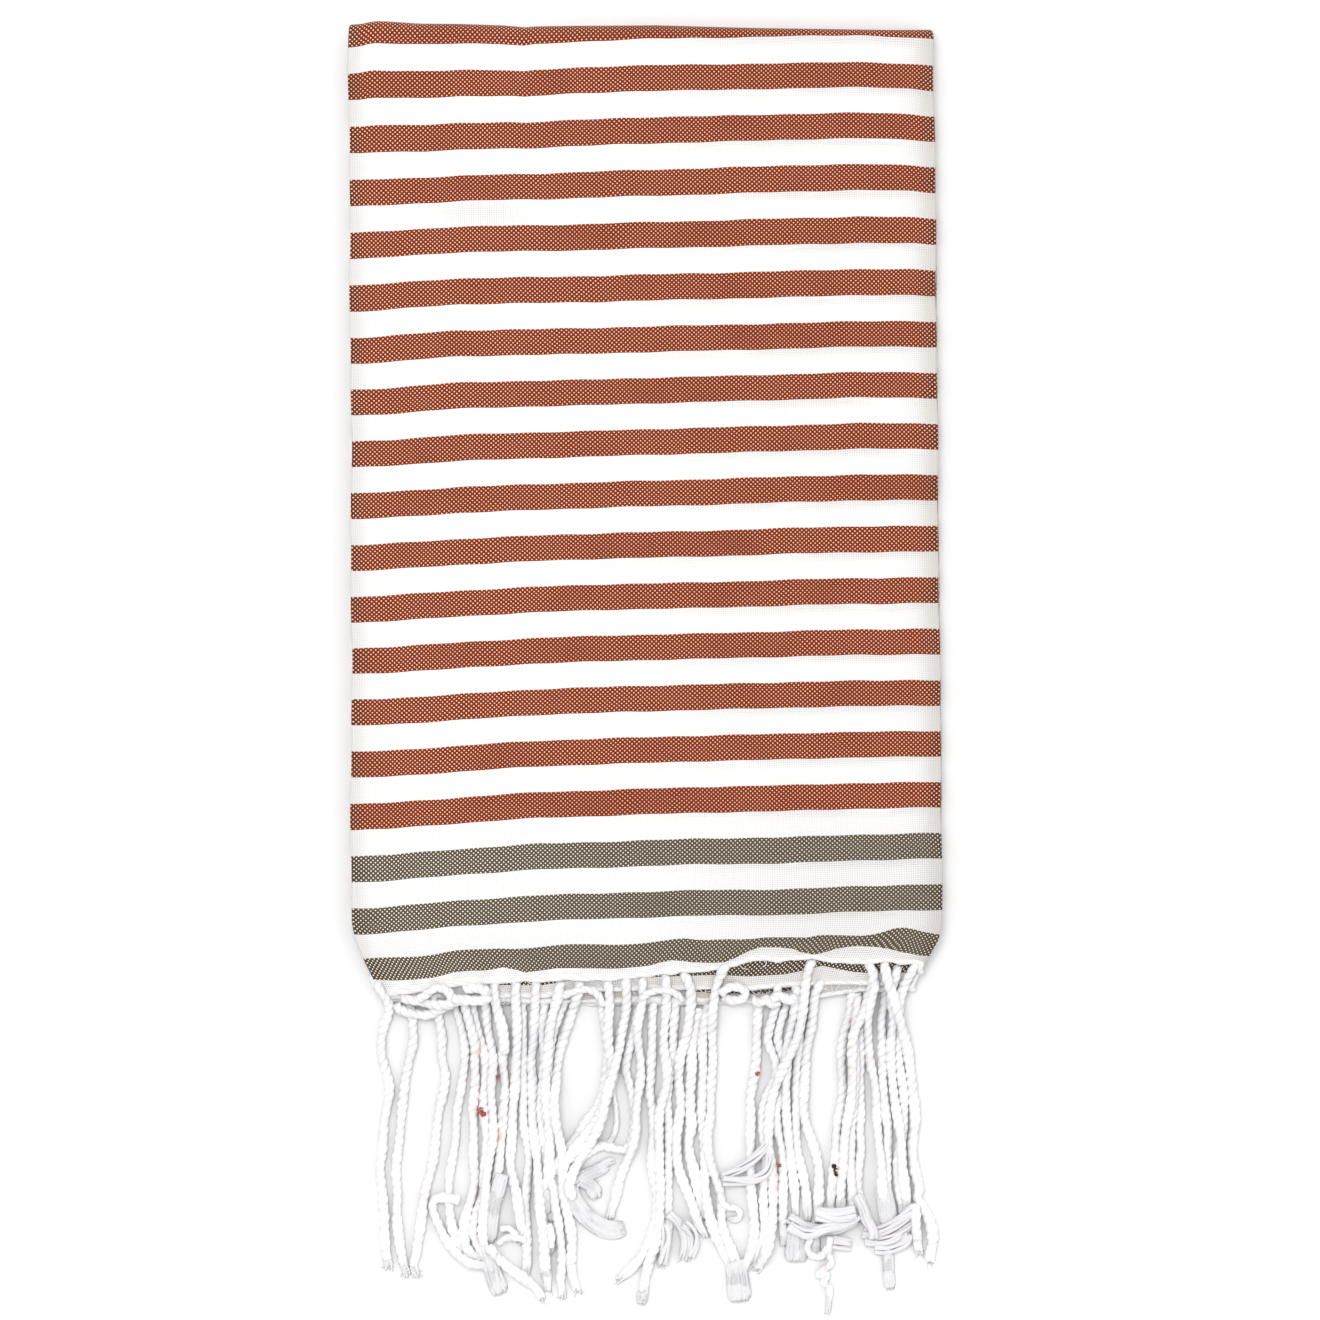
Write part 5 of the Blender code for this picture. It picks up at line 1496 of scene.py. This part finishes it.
def strayThreads(chance):
    # Short loose threads of the frayed hems, curling down over the roots of the cords
    found = []
    for _ in range(cords["strayThreads"]):
        x = chance.uniform(-138.0, 138.0)
        plies = ("middle", "middle", "inner") if x < 10.0 else ("middle", "inner", "inner", "inner")
        ply = chance.choice(plies)
        y = float(frontEdge(x, ply)) + chance.uniform(-1.5, 1.5)
        height = layers[3] - float(sunk(y)) + (1.2 if ply == "middle" else 0.3)
        place = np.array([float(realX(x, y)) - midX, y - midY, height])
        turn, bend = chance.uniform(-2.7, -0.4), chance.uniform(-0.5, 0.5)
        line = [place]
        for step in range(5):
            angle = turn + bend * step
            place = place + chance.uniform(0.5, 1.5) * np.array([math.cos(angle), math.sin(angle), -0.25])
            line.append(place)
        found.append((np.array(line), np.full(6, chance.uniform(0.18, 0.34)) * mm))
    return found


def lintLines(specks, chance):
    # Small tangles of curled hairs
    found = []
    sizes = cords["lintRadius"] * np.array([0.5, 0.9, 1.0, 1.1, 1.0, 0.8, 0.4])
    for x, y, size in specks:
        for _ in range(cords["lintHairs"]):
            turn = chance.uniform(0.0, 6.28)
            line = []
            for share in np.linspace(-1.0, 1.0, len(sizes)):
                ahead, bend = size * share, size * 0.5 * math.sin(share * 3.0 + turn)
                hairX = x + ahead * math.cos(turn) - bend * math.sin(turn)
                hairY = y + ahead * math.sin(turn) + bend * math.cos(turn)
                line.append((hairX, hairY, cords["lintHeight"] + 0.5 * math.cos(share * 2.0 + turn)))
            found.append((np.array(line), sizes))
    return found


def joinMeshes(name, meshes):
    objects = [placed(name + str(number), mesh) for number, mesh in enumerate(meshes)]
    first = objects[0]
    chosen = {"selected_objects": objects, "selected_editable_objects": objects}
    with bpy.context.temp_override(active_object=first, object=first, **chosen):
        bpy.ops.object.join()
    first.name = name
    first.data.name = name
    return first


def fringePiece(name, fringe, settled):
    chance = random.Random(21 if fringe == "front" else 22)
    mine = [cord for cord in settled if cord["fringe"] == fringe]
    lines = {"Twisted": [], "Loose": [], "Edge": [hemRoll(fringe)], "Fibres": []}
    for cord in mine:
        points, half = cord["line"], cord["half"]
        if cord["name"] in untwisted:
            lines["Loose"] += looseStrands(points, half, chance)
        elif cord["name"].startswith(whole):
            lines["Twisted"].append((points, radiiAlong(points, half, cord["name"])))
        else:
            cut = min(chance.choice((5, 6, 7, 9)), len(points) // 3)
            lines["Twisted"].append((points[: 1 - cut], radiiAlong(points[: 1 - cut], half, cord["name"])))
            reach = (0.8, 3.6) if len(points) > 30 else (0.4, 1.6)
            lines["Fibres"] += splitEnd(points[-cut - 1 :], half, chance, reach)
    lines["Tufts"] = brushStrands(fringe, chance)
    wispChance = random.Random(31)
    for cord in mine:
        if cord["line"][-1, 1] < cords["wispsBelow"] and not cord["name"].startswith(withoutWisps):
            lines["Fibres"] += wispsBeyond(cord["line"], cord["half"], wispChance)
    if fringe == "front":
        lines["Stray"] = strayThreads(chance)
        for kind, specks in (("Lint", lintSpecks), ("DarkLint", darkSpecks)):
            lines[kind] = lintLines(specks, chance)
    meshes = [sweptMesh(name, kind, found) for kind, found in lines.items() if found]
    for mesh in meshes:
        faceOut(mesh)
        restOnFloor(mesh)
    piece = joinMeshes(name, meshes)
    print(name, "made,", sum(len(face.vertices) - 2 for face in piece.data.polygons), "triangles")
    return piece


settled = settledCords()
frontFringe = fringePiece("frontCordFringe", "front", settled)
backFringe = fringePiece("backCordFringe", "back", settled)


# ---- Floor, light and camera ----

studio = {
    "floorSize": 6.0,
    "floorHeight": -0.1 * mm,
    "floorColour": (0.78, 0.78, 0.78),
    "worldStrength": 1.06,
    "cameraHeight": 2.4,
    "sensorWidth": 36.0,
    "seenWidth": 0.7084,
    "centre": (7.543 * mm, 2.62 * mm),
    "topHeight": 0.0155,
}
# Each light's name, power, size and place
lights = (
    ("keyLight", 17.0, 0.7, (-0.25, 0.36, 2.05)),
    ("fillLight", 5.0, 2.0, (1.6, -0.6, 1.7)),
)


def makeFloor():
    material, make, shader = newMaterial("paleFloor", 0.9, 0.0)
    cloud = make.noise(make.add("ShaderNodeTexCoord").outputs["Object"], 3.0)
    pale = studio["floorColour"]
    colour = make.mix(make.ramp(cloud, 0.3, 0.7), pale, tuple(0.985 * value for value in pale))
    make.join(colour, shader.inputs["Base Color"])
    half = studio["floorSize"] / 2
    corners = ((-half, -half), (half, -half), (half, half), (-half, half))
    mesh = bpy.data.meshes.new("studioFloor")
    mesh.from_pydata([(x, y, studio["floorHeight"]) for x, y in corners], [], [(0, 1, 2, 3)])
    mesh.materials.append(material)
    return placed("studioFloor", mesh)


def addLight(name, power, size, place):
    data = bpy.data.lights.new(name, "AREA")
    data.energy = power
    data.size = size
    made = placed(name, data)
    made.location = place
    made.rotation_euler = (-made.location.normalized()).to_track_quat("-Z", "Y").to_euler()


floor = makeFloor()
for light in lights:
    addLight(*light)
world = bpy.data.worlds.new("studioWorld")
world.use_nodes = True
background = world.node_tree.nodes["Background"].inputs
background["Color"].default_value = (1.0, 1.0, 1.0, 1.0)
background["Strength"].default_value = studio["worldStrength"]
bpy.context.scene.world = world
bpy.context.scene.view_settings.view_transform = "Standard"

cameraData = bpy.data.cameras.new("photoCamera")
cameraData.sensor_width = studio["sensorWidth"]
cameraData.lens = studio["sensorWidth"] * (studio["cameraHeight"] - studio["topHeight"]) / studio["seenWidth"]
camera = placed("photoCamera", cameraData)
camera.location = (*studio["centre"], studio["cameraHeight"])
bpy.context.scene.camera = camera
print("floor, light and camera set")


# ---- What stands for what ----

for piece, node in ((clothPiece, "towel_cloth"), (frontFringe, "front_fringe"), (backFringe, "back_fringe")):
    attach(piece, "root")
    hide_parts(node)
